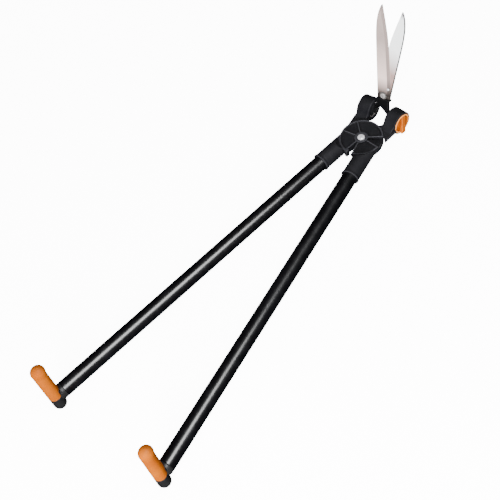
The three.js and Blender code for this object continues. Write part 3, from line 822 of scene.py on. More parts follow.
@dataclass(frozen=True)
class MouldedPlastic:
    """Moulded plastic or rubber: fine grain, slow drift of its tone, painted shade in its own corners, painted
    highlights on the tops of rims and ribs and along its edges.
    """

    name: str
    dark: Colour
    light: Colour
    # painted highlight along the piece's edges
    edge: Colour
    roughness: float = 0.6
    grain: float = 1100.0
    depth: float = 0.05
    coat: float = 0.0
    specular: float = 0.5
    # painted shade in the piece's own corners, laid on by ambient occlusion
    hollow: Colour | None = None
    hollow_reach: float = 4.0
    hollow_run: Pair = (0.45, 0.95)
    # painted highlight on the tops of rims and ribs
    raised: Colour | None = None
    place: Matrix | None = None
    raised_at: Pair = (6.6, 7.7)
    raised_within: Pair = (42.2, 43.2)
    drift_waves: float = 38.0
    patch_waves: float = 260.0
    patch_detail: float = 4.0
    patch_roughness: float = 0.07
    grain_detail: float = 2.0
    coat_roughness: float = 0.25

    def rubbed(self, surface: Surface) -> Socket:
        """Share that is 1 on high rims and ribs near the middle, where a highlight is painted.

        Args:
            surface: the material's nodes.

        Returns:
            Socket with the share.
        """
        parts = surface.placing(self.place)
        squares = [surface.math("MULTIPLY", parts.outputs[name], parts.outputs[name]) for name in ("X", "Y")]
        away = surface.math("SQRT", surface.math("ADD", *squares))
        low, high = (height * MM for height in self.raised_at)
        inner, outer = (reach * MM for reach in self.raised_within)
        above = surface.ranged(surface.math("ABSOLUTE", parts.outputs["Z"]), 0.0, 1.0, low, high)
        return surface.math("MULTIPLY", above, surface.ranged(away, 1.0, 0.0, inner, outer))

    def make(self) -> bpy.types.Material:
        """Builds the material.

        Returns:
            The finished material.
        """
        surface = Surface(self.name)
        drift = surface.ranged(surface.noise(self.drift_waves), 0.0, 1.0)
        colour = surface.mixed(drift, self.dark, self.light)
        # painted shade: darker colour in the piece's own corners
        if self.hollow:
            in_shade = surface.ranged(surface.openness(self.hollow_reach), 1.0, 0.0, *self.hollow_run)
            colour = surface.mixed(in_shade, colour, self.hollow)
        # painted highlight: lighter colour on the tops of rims and ribs
        if self.raised:
            colour = surface.mixed(self.rubbed(surface), colour, self.raised)
        # painted highlight: lighter colour along the edges
        surface.feed("Base Color", surface.mixed(surface.worn_edges(), colour, self.edge))
        patches = surface.noise(self.patch_waves, self.patch_detail)
        smooth, rough = self.roughness - self.patch_roughness, self.roughness + self.patch_roughness
        surface.feed("Roughness", surface.ranged(patches, smooth, rough))
        surface.set(Coat_Weight=self.coat, Coat_Roughness=self.coat_roughness,
                    Specular_IOR_Level=self.specular)
        surface.bumps((surface.noise(self.grain, self.grain_detail), self.depth), (patches, self.depth))
        return surface.material


@dataclass(frozen=True)
class GlossPaint:
    """Black paint on a drawn tube: a soft gloss with faint ripples, and a few dull patches of dust."""

    name: str
    colour: Colour
    faded: Colour
    roughness: float = 0.3
    coat: float = 0.35
    specular: float = 0.8
    coat_roughness: float = 0.22
    dust_waves: float = 55.0
    dust_detail: float = 5.0
    dust_run: Pair = (0.45, 0.75)
    dust_roughness: float = 0.06
    ripple_waves: float = 420.0
    ripple_detail: float = 1.0
    ripple_depth: float = 0.012

    def make(self) -> bpy.types.Material:
        """Builds the material.

        Returns:
            The finished material.
        """
        surface = Surface(self.name)
        dust = surface.ranged(surface.noise(self.dust_waves, self.dust_detail), 0.0, 1.0, *self.dust_run)
        surface.feed("Base Color", surface.mixed(dust, self.colour, self.faded))
        dull = self.roughness + self.dust_roughness
        surface.feed("Roughness", surface.ranged(dust, self.roughness, dull, 0.0, 1.0))
        surface.set(Coat_Weight=self.coat, Coat_Roughness=self.coat_roughness,
                    Specular_IOR_Level=self.specular)
        surface.bumps((surface.noise(self.ripple_waves, self.ripple_detail), self.ripple_depth))
        return surface.material


@dataclass(frozen=True)
class SatinSteel:
    """Ground or turned steel: fine lines along one direction, a slow drift of its tint, painted shade in its
    own corners, and on blades painted reflections and shade along their length.
    """

    name: str
    dark: Colour
    light: Colour
    roughness: float = 0.34
    metallic: float = 1.0
    place: Matrix | None = None
    lines: tuple[float, float, float] = (600.0, 600.0, 600.0)
    marked: bool = False
    # tint of the ground bevel: partly its own grinding, partly painted reflection
    ground: Colour = (0.4, 0.36, 0.35)
    # painted shade along the blade's back edge
    spine: Colour = (0.012, 0.013, 0.013)
    # painted shade in the piece's own corners, such as a bolt head's dimple
    hollow: Colour | None = None
    hollow_reach: float = 3.2
    hollow_run: Pair = (0.5, 0.97)
    # painted reflection: tint towards the blade's root
    root: Colour = (0.5, 0.5, 0.5)
    root_run: Pair = (20.0, 110.0)
    # painted shade on the blade towards the bolt
    stain: Colour = (0.028, 0.023, 0.021)
    stain_run: Pair = (3.0, 38.0)
    # painted reflection: darker tint at the point
    point: Colour = (0.3, 0.3, 0.3)
    point_run: Pair = (172.0, 186.0)
    drift_waves: float = 24.0
    line_detail: float = 2.0
    line_depth: float = 0.012
    line_roughness: Pair = (-0.06, 0.08)

    def lengthwise(self, surface: Surface, colour: Socket) -> Socket:
        """Paints reflections and shade along a blade: a painted tint towards the root, the ground bevel's tint
        (partly painted reflection), painted shade towards the bolt, and a darker painted point.

        Args:
            surface: the material's nodes.
            colour: tint of the blade's middle.

        Returns:
            Socket with the changed tint.
        """
        along = surface.placing(self.place).outputs["Y"]
        near_root, near_bolt, at_point = (
            surface.ranged(along, first, 1.0 - first, start * MM, end * MM)
            for first, (start, end) in ((1.0, self.root_run), (1.0, self.stain_run), (0.0, self.point_run)))
        ground = surface.attribute("ground")
        tints = (self.root, self.ground, self.stain, self.point)
        for share, tint in zip((near_root, ground, near_bolt, at_point), tints):
            colour = surface.mixed(share, colour, tint)
        return colour

    def make(self) -> bpy.types.Material:
        """Builds the material.

        Returns:
            The finished material.
        """
        surface = Surface(self.name)
        lines = surface.noise(1.0, self.line_detail, surface.mapped(self.place, self.lines))
        drift = surface.ranged(surface.noise(self.drift_waves), 0.0, 1.0)
        colour = surface.mixed(drift, self.dark, self.light)
        # painted shade: darker colour in the piece's own corners
        if self.hollow:
            in_shade = surface.ranged(surface.openness(self.hollow_reach), 1.0, 0.0, *self.hollow_run)
            colour = surface.mixed(in_shade, colour, self.hollow)
        # painted reflections and shade along a blade, and painted shade along its back
        if self.marked:
            colour = self.lengthwise(surface, colour)
            colour = surface.mixed(surface.attribute("spine"), colour, self.spine)
        surface.feed("Base Color", colour)
        smooth, rough = (self.roughness + change for change in self.line_roughness)
        surface.feed("Roughness", surface.ranged(lines, smooth, rough))
        surface.set(Metallic=self.metallic)
        surface.bumps((lines, self.line_depth))
        return surface.material


class Finishes:
    """Every finish of the shears, made once; the places of painted highlights and painted shade are in
    millimetres.
    """

    # reach of the painted shade in the knob's own corners
    knob_hollow: float = 5.0
    # heights and radii of the painted highlight on the knob's rim
    knob_top: Pair = (13.3, 14.1)
    knob_within: Pair = (18.0, 17.2)
    along_blade: tuple[float, float, float] = (2400.0, 26.0, 2400.0)
    # runs of the painted root tints on the blades
    front_root: Pair = (35.0, 115.0)
    rear_root: Pair = (50.0, 105.0)

    def __init__(self, layout: Layout) -> None:
        """Makes the materials.

        Args:
            layout: directions that the painted highlights, the lines, and the painted reflections and shade on
                the blades follow.
        """
        # In the plastics below, the third colour is a painted highlight along the edges; where given, the
        # darkest corner colour is painted shade and the bright colour for rim and rib tops is a painted
        # highlight.
        self.casting = MouldedPlastic(
            "casting", (0.0046, 0.0046, 0.0058), (0.0085, 0.0085, 0.01), (0.036, 0.036, 0.041),
            roughness=0.62, depth=0.09, specular=0.16, hollow=(0.001, 0.001, 0.0013),
            raised=(0.019, 0.019, 0.0225), place=layout.whole()).make()
        self.paint = GlossPaint("paint", (0.0015, 0.0015, 0.002), (0.003, 0.003, 0.004)).make()
        self.orange = MouldedPlastic(
            "orange", (0.215, 0.046, 0.0004), (0.265, 0.064, 0.0007), (0.34, 0.095, 0.004),
            roughness=0.52, grain=700.0, depth=0.03, specular=0.16).make()
        self.knob_orange = MouldedPlastic(
            "knob_orange", (0.29, 0.056, 0.0006), (0.35, 0.078, 0.001), (0.8, 0.32, 0.07),
            roughness=0.36, grain=900.0, depth=0.02, specular=0.35, hollow=(0.1, 0.012, 0.0003),
            hollow_reach=self.knob_hollow, raised=(0.85, 0.33, 0.08), raised_at=self.knob_top,
            raised_within=self.knob_within, place=layout.ring(Side.LEFT) @ ALONG_X).make()
        self.plastic = MouldedPlastic(
            "plastic", (0.0018, 0.0018, 0.002), (0.0035, 0.0035, 0.004), (0.014, 0.014, 0.016),
            roughness=0.45, specular=0.2).make()
        self.grip_plastic = MouldedPlastic(
            "grip_plastic", (0.006, 0.006, 0.0064), (0.01, 0.01, 0.0105), (0.022, 0.022, 0.024),
            roughness=0.4, depth=0.04, specular=0.4).make()
        self.rubber = MouldedPlastic(
            "rubber", (0.006, 0.006, 0.006), (0.01, 0.01, 0.01), (0.02, 0.02, 0.02),
            roughness=0.8, depth=0.06).make()
        self.bush_grey = MouldedPlastic(
            "bush_grey", (0.11, 0.105, 0.105), (0.14, 0.135, 0.135), (0.22, 0.21, 0.21),
            roughness=0.45, depth=0.03).make()
        # Where a steel has a darkest colour, it is painted shade in its corners, such as the bolt heads'
        # dimples.
        self.steel = SatinSteel(
            "steel", (0.72, 0.72, 0.74), (0.84, 0.84, 0.86),
            roughness=0.24, metallic=0.45, hollow=(0.05, 0.05, 0.052)).make()
        # Darker steel for the blade bolt's head
        self.worn_steel = SatinSteel(
            "worn_steel", (0.27, 0.255, 0.25), (0.42, 0.4, 0.39),
            roughness=0.26, metallic=0.5, hollow=(0.02, 0.018, 0.018)).make()
        self.dull_steel = SatinSteel(
            "dull_steel", (0.075, 0.07, 0.067), (0.12, 0.112, 0.108), roughness=0.36, metallic=0.4).make()
        # The two blades are the same steel, painted with reflections: the rear one near white for the bright
        # studio that it mirrors, the front one darker and pinker.
        self.blades = {
            Half.FRONT: SatinSteel(
                "front_blade_steel", (0.34, 0.265, 0.245), (0.45, 0.365, 0.34), roughness=0.42, metallic=0.3,
                place=layout.blade(Half.FRONT), lines=self.along_blade, marked=True,
                ground=(0.27, 0.212, 0.196), root=(0.9, 0.7, 0.64), root_run=self.front_root,
                point=(0.2, 0.165, 0.155)).make(),
            Half.REAR: SatinSteel(
                "rear_blade_steel", (0.95, 0.98, 0.98), (0.97, 0.99, 0.99), roughness=0.38, metallic=0.15,
                place=layout.blade(Half.REAR), lines=self.along_blade, marked=True,
                ground=(0.8, 0.8, 0.79), root=(0.33, 0.225, 0.205), root_run=self.rear_root,
                point=(0.05, 0.045, 0.045)).make(),
        }


@dataclass(kw_only=True)
class Shared:
    """Sizes that more than one sub-assembly keeps to, in millimetres and radians."""

    gap: float = 0.3
    disc_radius: float = 42.0
    disc_height: float = 8.0
    rib: float = 2.4
    handle_to: float = math.radians(269.2)
    tube_radius: float = 15.0
    tube_offset: float = 21.8
    tube_end: float = 726.0
    sleeve_radius: float = 17.1
    ring_half: float = 14.0
    seat: float = 20.4
    blade_thick: float = 2.8
    washer: float = 7.6
    stud_at: Pair = (11.4, 16.1)


@dataclass
class Part(Shared):
    """What every sub-assembly starts from: the directions of the shears, and their finishes."""

    layout: Layout
    finishes: Finishes


@dataclass
class Casting(Part):
    """One handle's casting: half disc with ribs, sleeve for the tube, and the web and neck up to its ring."""

    side: Side
    rim: float = 3.0
    web_top: float = 5.2
    layer_gap: float = 0.8
    hub: float = 13.0
    hub_clearance: float = 1.2
    recess: float = 7.7
    recess_floor: float = 5.9
    bores: Pair = (6.3, 4.3)
    rib_at: float = math.radians(144.2)
    lug_from: float = math.radians(176.1)
    handle_from: float = math.radians(191.7)
    stop_room: float = math.radians(0.97)
    lug_width: float = 10.0
    lug_depth: float = 3.0
    tab_inset: float = 6.0
    tab_stand: float = 2.3
    tab_to: float = math.radians(274.8)
    overlap: float = 0.6
    sleeve_bore: float = 15.5
    sleeve_from: float = 17.0
    tube_from: float = 50.0
    sleeve_end: float = 89.0
    cone: float = 9.1
    lip: float = 1.0
    lip_length: float = 4.0
    ring_radius: float = 23.25
    ring_edge: float = 1.6
    mouth_bevel: float = 1.4
    web_thick: float = 6.0
    flare: float = 3.7
    flare_share: float = 0.603
    inner_share: float = 0.661
    neck_rise: float = 9.0
    neck_drop: float = 12.0
    slope_share: float = 0.891
    wall_middle: float = 21.8
    corner_polar: Pair = (1.1226, math.radians(25.5))
    from_polar: Pair = (1.03, math.radians(38.5))
    to_polar: Pair = (0.99, math.radians(81.8))
    grain: float = 0.62

    @property
    def stop_edge(self) -> float:
        """Angle where the half disc ends and the other handle's sector begins."""
        linkage = self.layout.linkage
        return math.pi - self.lug_from + 2.0 * linkage.rest_half + linkage.open_travel + self.stop_room

    @property
    def slant(self) -> float:
        """Angle of half a rib at the rim."""
        return self.rib / 2.0 / self.disc_radius

    @property
    def flip(self) -> Matrix:
        """Turns the front layer into the rear one where this casting lies behind."""
        return Matrix.Diagonal((1, 1, self.side.layer, 1))

    @property
    def bore(self) -> float:
        """Radius of the pivot's bore; the front casting's is wider, for its bush."""
        return self.bores[0] if self.side is Side.LEFT else self.bores[1]

    def ribs(self, shells: Shells) -> None:
        """Sets the radial ribs on the disc: copies of one rib on points with an angle each.

        Args:
            shells: collection that they join.
        """
        inner = self.hub - self.overlap
        outer = self.disc_radius - self.rim / 2.0
        half = self.rib / 2.0
        low = self.layer_gap
        for start, foot, angles, place in (
            (inner, low, (self.stop_edge + self.slant, self.rib_at, self.handle_to - self.slant), self.flip),
            (self.hub + self.hub_clearance, -self.disc_height,
             (self.handle_from + self.slant, self.handle_to - self.slant), Matrix.Identity(4)),
        ):
            one = Shells()
            one.prism([(start, -half), (outer, -half), (outer, half), (start, half)], foot, self.disc_height)
            shape = linked("rib", one.mesh("rib"))
            points = marked_points("ribs", [Vector() for _ in angles], angles)
            shells.take(copies_tree().run(points, {"Shape": shape, "Material": None}), place)
            bpy.data.objects.remove(shape)

    def disc(self, shells: Shells) -> None:
        """Adds the half disc with its rim and hub.

        Args:
            shells: collection that it joins.
        """
        spread = (self.stop_edge, self.handle_to)
        low = self.layer_gap
        upper = Shells()
        upper.sector((self.hub - self.overlap, self.disc_radius - self.overlap), spread, (low, self.web_top))
        upper.sector((self.disc_radius - self.rim, self.disc_radius), spread, (low, self.disc_height))
        upper.lathe([(self.bore, low), (self.hub, low), (self.hub, self.disc_height),
                     (self.recess, self.disc_height), (self.recess, self.recess_floor),
                     (self.bore, self.recess_floor)], ring=True)
        upper.sector((self.disc_radius - self.lug_width, self.disc_radius),
                     (self.lug_from, self.handle_from + self.slant), (-self.lug_depth, low + self.overlap))
        shells.take(upper.mesh("half_disc"), self.flip)

    def handle_sector(self, shells: Shells) -> None:
        """Adds the full-height part of the disc that runs into the sleeve, and the front casting's stop tab.

        Args:
            shells: collection that it joins.
        """
        spread = (self.handle_from, self.handle_to)
        inner = self.hub + self.hub_clearance
        full = (-self.disc_height, self.disc_height)
        shells.sector((inner, self.disc_radius - self.overlap), spread, (-self.web_top, self.web_top))
        shells.sector((self.disc_radius - self.rim, self.disc_radius), spread, full)
        if self.side is Side.LEFT:
            shells.sector((self.disc_radius - self.tab_inset, self.disc_radius + self.tab_stand),
                          (self.handle_to - 2.0 * self.slant, self.tab_to), full)

    def height_at(self, reach: float) -> float:
        """Height that the sleeve may have by the cone that climbs from the disc's rim.

        Args:
            reach: distance from the pivot.

        Returns:
            Half the sleeve's height there.
        """
        hidden = self.web_top - self.overlap
        start = self.disc_radius - self.rim / 2.0
        if reach < start:
            return hidden
        if reach < self.disc_radius:
            return hidden + (self.disc_height - hidden) * (reach - start) / (self.disc_radius - start)
        climb = self.sleeve_radius - self.disc_height
        return self.disc_height + (reach - self.disc_radius) * climb / self.cone

    def sleeve(self, shells: Shells, steps: int = 96) -> None:
        """Adds the sleeve: solid up to the tube's end, then a pipe with a lip.

        Args:
            shells: collection that it joins.
            steps: points round the sleeve, and half as many along its solid part.
        """
        rows = []
        length = self.tube_from - self.sleeve_from
        for row in range(steps // 2 + 1):
            along = self.sleeve_from + 2.0 * length * row / steps
            points = []
            for step in range(steps):
                angle = TAU * step / steps
                x = self.sleeve_radius * math.cos(angle) - self.tube_offset
                limit = self.height_at(math.hypot(x, along))
                z = max(-limit, min(limit, self.sleeve_radius * math.sin(angle)))
                points.append(Vector((x, -along, z)))
            rows.append(points)
        shells.rows(rows)
        outer = self.sleeve_radius
        lip_from = self.sleeve_end - self.lip_length
        half_lip = self.lip / 2.0
        profile = [
            (self.sleeve_bore, self.tube_from - self.overlap),
            (outer, self.tube_from - self.overlap),
            (outer, lip_from),
            (outer + self.lip, lip_from + self.lip),
            (outer + self.lip, self.sleeve_end - half_lip),
            (outer + half_lip, self.sleeve_end),
            (self.sleeve_bore, self.sleeve_end),
        ]
        shells.lathe(profile, Matrix.Translation((-self.tube_offset, 0.0, 0.0)) @ TO_GRIPS, steps, ring=True)

    def web(self, shells: Shells) -> None:
        """Adds the flat web and the sloping neck between disc and ring.

        Args:
            shells: collection that they join.
        """
        to_ring = self.layout.in_handle()
        room = self.layout.linkage.arm_reach - self.disc_radius
        disc_side = [
            (share * self.disc_radius * math.cos(angle), share * self.disc_radius * math.sin(angle))
            for share, angle in (self.corner_polar, self.from_polar, self.to_polar)
        ]
        start, flared, inner, wall = (tuple((to_ring @ Vector((x, y, 0.0))).to_2d()) for x, y in (
            (self.ring_half, -self.wall_middle),
            (self.ring_half + self.flare, -self.flare_share * room),
            (-self.ring_half, -self.inner_share * room),
            (-self.ring_half, -self.wall_middle),
        ))
        shells.prism([start, flared, *disc_side, inner, wall], self.layer_gap, self.web_thick, self.flip)
        self.neck(shells, to_ring, room)

    def neck(self, shells: Shells, to_ring: Matrix, room: float, steps: int = 24) -> None:
        """Adds the neck, which ends inside the barrel's wall.

        Args:
            shells: collection that it joins.
            to_ring: the ring's directions in the handle.
            room: way from the disc to the ring's centre.
            steps: faces along its round end.
        """
        limits = sorted((self.side.layer * self.layer_gap, self.side.layer * self.web_thick))
        low, high = (limit - self.layout.linkage.ring_lift for limit in limits)
        end = [self.neck_rise - (self.neck_rise + self.neck_drop) * step / steps for step in range(steps + 1)]
        outline = [
            (-room, low),
            (-room, high),
            (-math.sqrt(self.ring_radius ** 2 - self.neck_rise ** 2), self.neck_rise),
            *[(-math.sqrt(self.wall_middle ** 2 - height ** 2), height) for height in end],
            (-math.sqrt(self.ring_radius ** 2 - self.neck_drop ** 2), -self.neck_drop),
            (-self.slope_share * room, low),
        ]
        half = self.ring_half - self.ring_edge
        shells.prism(outline, -half, half, to_ring @ SIDE_VIEW)

    def barrel(self, shells: Shells, steps: int = 24) -> None:
        """Adds the ring's barrel with its ball-shaped seat and bevelled mouth.

        Args:
            shells: collection that it joins.
            steps: faces along the seat's profile.
        """
        half = self.ring_half
        mouth = math.sqrt(self.seat ** 2 - half ** 2) + self.mouth_bevel
        low = math.asin(-half / self.seat) + self.mouth_bevel / self.seat
        seat = [(self.seat * math.cos(low * step / steps), self.seat * math.sin(low * step / steps))
                for step in range(steps + 1)]
        profile = [
            (mouth, -half),
            (self.ring_radius - self.ring_edge, -half),
            (self.ring_radius, -half + self.ring_edge),
            (self.ring_radius, half - self.ring_edge),
            (self.ring_radius - self.ring_edge, half),
            (self.seat, half),
            *seat,
        ]
        shells.lathe(profile, self.layout.in_handle() @ ALONG_X, ring=True)

    def dress(self) -> None:
        """Builds the casting as one moulded skin."""
        shells = Shells()
        self.disc(shells)
        self.handle_sector(shells)
        self.ribs(shells)
        self.sleeve(shells)
        self.web(shells)
        self.barrel(shells)
        place = self.layout.handle(self.side)
        piece = moulded_piece(f"{self.side.word}_casting", shells, place, self.finishes.casting, self.grain)
        hand_in(piece, self.side.body, "casting", f"{self.side.word}_arm")


@dataclass
class Tube(Part):
    """A handle's tube and the two blind rivets that hold it in the sleeve and the grip on it."""

    side: Side
    wall: float = 1.5
    start: float = 50.3
    edge: float = 0.35
    sides: int = 128
    rivet_places: Pair = (68.0, 700.0)
    rivet_head: float = 4.2
    rivet_thick: float = 1.1
    rivet_shank: float = 2.1
    rivet_length: float = 7.0
    rivet_dimple: float = 1.1
    rivet_sides: int = 64
    dimple_shares: Shares = ((0.0, 0.55), (0.7, 0.6), (1.0, 0.95))
    head_shares: Shares = (
        (0.62, 1.0), (0.86, 0.8), (0.97, 0.45), (1.0, 0.1), (0.97, 0.0))
    stand: float = 0.15

    def rivet(self) -> Shells:
        """One blind rivet, its rounded head down, with the dimple of its drawn stem.

        Returns:
            Its closed shell.
        """
        thick = self.rivet_thick
        dimple = [(across * self.rivet_dimple, -down * thick) for across, down in self.dimple_shares]
        head = [(across * self.rivet_head, -down * thick) for across, down in self.head_shares]
        shells = Shells()
        shells.lathe([*dimple, *head, (self.rivet_shank, 0.0), (self.rivet_shank, self.rivet_length),
                      (0.0, self.rivet_length)], sides=self.rivet_sides)
        return shells

    def dress(self) -> None:
        """Builds the tube and its rivets."""
        paint, steel = self.finishes.paint, self.finishes.steel
        along = Matrix.Translation((-self.tube_offset, 0.0, 0.0)) @ TO_GRIPS
        middle = Matrix.Translation((0.0, 0.0, (self.start + self.tube_end) / 2.0))
        place = self.layout.handle(self.side) @ along @ middle
        wall = tube_tree().run(bpy.data.meshes.new("tube"), {
            "Radius": self.tube_radius, "Wall": self.wall, "Length": self.tube_end - self.start,
            "Edge": self.edge, "Sides": self.sides, "Material": paint,
        })
        tube = placed(f"{self.side.word}_painted_tube", wall, place, paint)
        hand_in(tube, self.side.body, "paint", f"{self.side.word}_tube")
        shape = linked("rivet", self.rivet().mesh("rivet"))
        surfaces = (self.sleeve_radius, self.tube_radius)
        places = [Vector((-self.tube_offset, -at, -surface - self.stand))
                  for at, surface in zip(self.rivet_places, surfaces)]
        points = marked_points("rivets", places, [0.0 for _ in places])
        rivets = copies_tree().run(points, {"Shape": shape, "Material": steel})
        bpy.data.objects.remove(shape)
        piece = placed(f"{self.side.word}_rivets", rivets, self.layout.handle(self.side), steel)
        nodes = (f"{self.side.word}_{place}_rivet" for place in ("tube", "grip"))
        hand_in(piece, self.side.body, "steel", *nodes)


@dataclass
class Grip(Part):
    """A grip: black core with collar and plug, and the soft pad in its back and round its top."""

    side: Side
    tube_bore: float = 13.5
    setback: float = 18.5
    radius: float = 12.6
    bottom: float = -36.0
    top: float = 103.0
    top_radius: float = 12.8
    lean: float = 0.8
    post: float = 8.8
    pad_low: float = 4.0
    pad_front: float = 7.0
    pad_wrap: float = 19.0
    collar: float = 14.8
    collar_run: float = 5.0
    spigot: float = 46.0
    edge: float = 0.9
    jump: float = 0.0008
    columns: int = 288
    rows: int = 26
    grain: float = 0.6
    softness: int = 2

    def seam(self, angle: float) -> float:
        """Height of the pad's lower edge at an angle from the bar's back."""
        front = -self.radius * math.cos(angle) > self.pad_front
        return self.pad_wrap if front else self.pad_low

    def angles(self) -> list[float]:
        """Angles of the columns round the bar, with a close pair where the pad's edge jumps to its wrap.

        Returns:
            The angles, rising.
        """
        jump = math.acos(-self.pad_front / self.radius)
        even = [TAU * step / self.columns for step in range(self.columns)]
        pairs = [at + shift for at in (jump, TAU - jump) for shift in (-self.jump, self.jump)]
        return sorted(even + pairs)

    def skin(self, angle: float, radius: float, height: float) -> Vector:
        """A point of the grip, leaning a little forwards at its crown.

        Args:
            angle: angle from the bar's back.
            radius: distance from its axis.
            height: height of the point.

        Returns:
            The point in the grip's directions.
        """
        upper = self.top - self.top_radius
        share = max(0.0, min(1.0, (height - upper + self.top_radius) / self.top_radius))
        share = share * share * (3.0 - 2.0 * share)
        wide = radius * (1.0 + share * self.lean / self.top_radius)
        return Vector((radius * math.sin(angle), self.lean * share - wide * math.cos(angle), height))

    def crown(self) -> Profile:
        """Radius and height of the top.

        Returns:
            The profile, from its widest place to its pole.
        """
        upper = self.top - self.top_radius
        angles = [math.pi / 2.0 * step / self.rows for step in range(self.rows + 1)]
        radius = self.top_radius
        return [(radius * math.cos(angle), upper + radius * math.sin(angle)) for angle in angles]

    def pad_rows(self, angle: float) -> Profile:
        """Radius and height down the pad's inside and up its outside, at one angle.

        Args:
            angle: angle from the bar's back.

        Returns:
            The profile, from pole to pole.
        """
        seam = self.seam(angle)
        inner = self.post + self.gap
        ceiling = self.top - self.top_radius + self.gap
        corner = self.edge * CORNER_SHARE
        upper = self.top - self.top_radius
        swell_from = upper - self.top_radius
        profile = [(0.0, ceiling), (inner, ceiling), (inner, seam), (self.radius - self.edge, seam),
                   (self.radius - corner, seam + corner), (self.radius, seam + self.edge)]
        for row in range(1, self.rows):
            height = seam + self.edge + (upper - seam - self.edge) * row / self.rows
            share = max(0.0, (height - swell_from) / self.top_radius)
            profile.append((self.radius + (self.top_radius - self.radius) * share * share, height))
        return profile + self.crown()

    def core_rows(self, angle: float) -> Profile:
        """Radius and height up the core's outside and its post, at one angle.

        Args:
            angle: angle from the bar's back.

        Returns:
            The profile, from pole to pole.
        """
        seam = self.seam(angle) - self.gap
        lower = self.bottom + self.radius
        corner = self.edge * CORNER_SHARE
        turns = [math.pi / 2.0 * (step / self.rows - 1.0) for step in range(self.rows + 1)]
        profile = [(self.radius * math.cos(turn), lower + self.radius * math.sin(turn)) for turn in turns]
        for row in range(1, self.rows):
            profile.append((self.radius, lower + (seam - self.edge - lower) * row / self.rows))
        return profile + [(self.radius, seam - self.edge), (self.radius - corner, seam - corner),
                          (self.radius - self.edge, seam), (self.post, seam),
                          (self.post, self.top - self.top_radius), (0.0, self.top - self.top_radius)]

    def shell(self, profile: Callable[[float], Profile], place: Matrix) -> Shells:
        """Closed shell whose profile changes round the bar.

        Args:
            profile: gives the profile at an angle.
            place: matrix that puts the shell in place.

        Returns:
            The shell.
        """
        columns = [[self.skin(angle, radius, height) for radius, height in profile(angle)]
                   for angle in self.angles()]
        shells = Shells()
        shells.rows([list(row) for row in zip(*columns)], place)
        return shells

    def dress(self) -> None:
        """Builds pad and core."""
        handle = self.layout.handle(self.side)
        bar = Matrix.Translation((-self.tube_offset, -self.tube_end - self.setback, 0.0))
        shell = self.shell(self.pad_rows, bar)
        pad = turned_piece(f"{self.side.word}_soft_pad", shell, handle, self.finishes.orange)
        hand_in(pad, self.side.body, "orange", f"{self.side.word}_grip_pad")
        core = self.shell(self.core_rows, bar)
        start = -self.tube_end - self.setback + self.pad_front + self.gap
        plug = self.tube_bore - self.gap
        soft = self.edge / 2.0
        core.lathe([
            (0.0, start), (self.radius, start), (self.collar, start + self.collar_run),
            (self.collar, -self.tube_end - self.gap - soft), (self.collar - soft, -self.tube_end - self.gap),
            (plug, -self.tube_end - self.gap), (plug, -self.tube_end + self.spigot - self.collar_run),
            (plug - self.edge, -self.tube_end + self.spigot), (0.0, -self.tube_end + self.spigot),
        ], Matrix.Translation((-self.tube_offset, 0.0, 0.0)) @ TO_HEAD)
        piece = moulded_piece(f"{self.side.word}_core", core, handle, self.finishes.grip_plastic, self.grain,
                              self.softness)
        hand_in(piece, self.side.body, "plastic", f"{self.side.word}_grip_core")


def disc_profile(radius: float, low: float, high: float, soft: float, hole: float = 0.0) -> Profile:
    """Profile of a disc or washer.

    Args:
        radius: its outer radius.
        low: height of its underside.
        high: height of its top.
        soft: width by which its outer corners are cut.
        hole: radius of its hole.

    Returns:
        The profile, from the underside up.
    """
    return [(hole, low), (radius - soft, low), (radius, low + soft), (radius, high - soft),
            (radius - soft, high), (hole, high)]


def eased(share: float, rise: float | Vector, leave: float | Vector, reach: float | Vector) -> float | Vector:
    """How far an even curve has risen at a share of its way.

    Args:
        share: share of the way.
        rise: how far it rises in all.
        leave: its slope where it leaves.
        reach: its slope where it arrives.

    Returns:
        The rise up to there.
    """
    return share * (leave + share * (
        3.0 * rise - 2.0 * leave - reach + share * (leave + reach - 2.0 * rise)))


def smooth_rows(rows: Sequence[Sequence[float]], at: float) -> list[float]:
    """Values on smooth curves through rows of numbers, the first of which is the place along them.

    Args:
        rows: rows with rising places.
        at: place that is asked for.

    Returns:
        The other values there.
    """
    last = len(rows) - 2
    row = max(0, min(last, sum(1 for entry in rows if entry[0] <= at) - 1))
    lower, upper = rows[row], rows[row + 1]
    before, after = rows[max(0, row - 1)], rows[min(last + 1, row + 2)]
    span = upper[0] - lower[0]
    share = max(0.0, min(1.0, (at - lower[0]) / span))
    values = []
    for column in range(1, len(lower)):
        leave = span * (upper[column] - before[column]) / (upper[0] - before[0])
        reach = span * (after[column] - lower[column]) / (after[0] - lower[0])
        values.append(lower[column] + eased(share, upper[column] - lower[column], leave, reach))
    return values


def curve_through(points: Sequence[Pair], steps: int = 10) -> list[Pair]:
    """Even curve through points, tight at both ends.

    Args:
        points: the points, in order.
        steps: new points for each one.

    Returns:
        Points along the curve.
    """
    curve = []
    for first in range(len(points) - 1):
        ends = [Vector(points[max(0, min(len(points) - 1, first + shift))]) for shift in (-1, 0, 1, 2)]
        leave = (ends[2] - ends[0]) / 2.0
        reach = (ends[3] - ends[1]) / 2.0
        for step in range(steps):
            curve.append(tuple(ends[1] + eased(step / steps, ends[2] - ends[1], leave, reach)))
    return curve + [tuple(points[-1])]


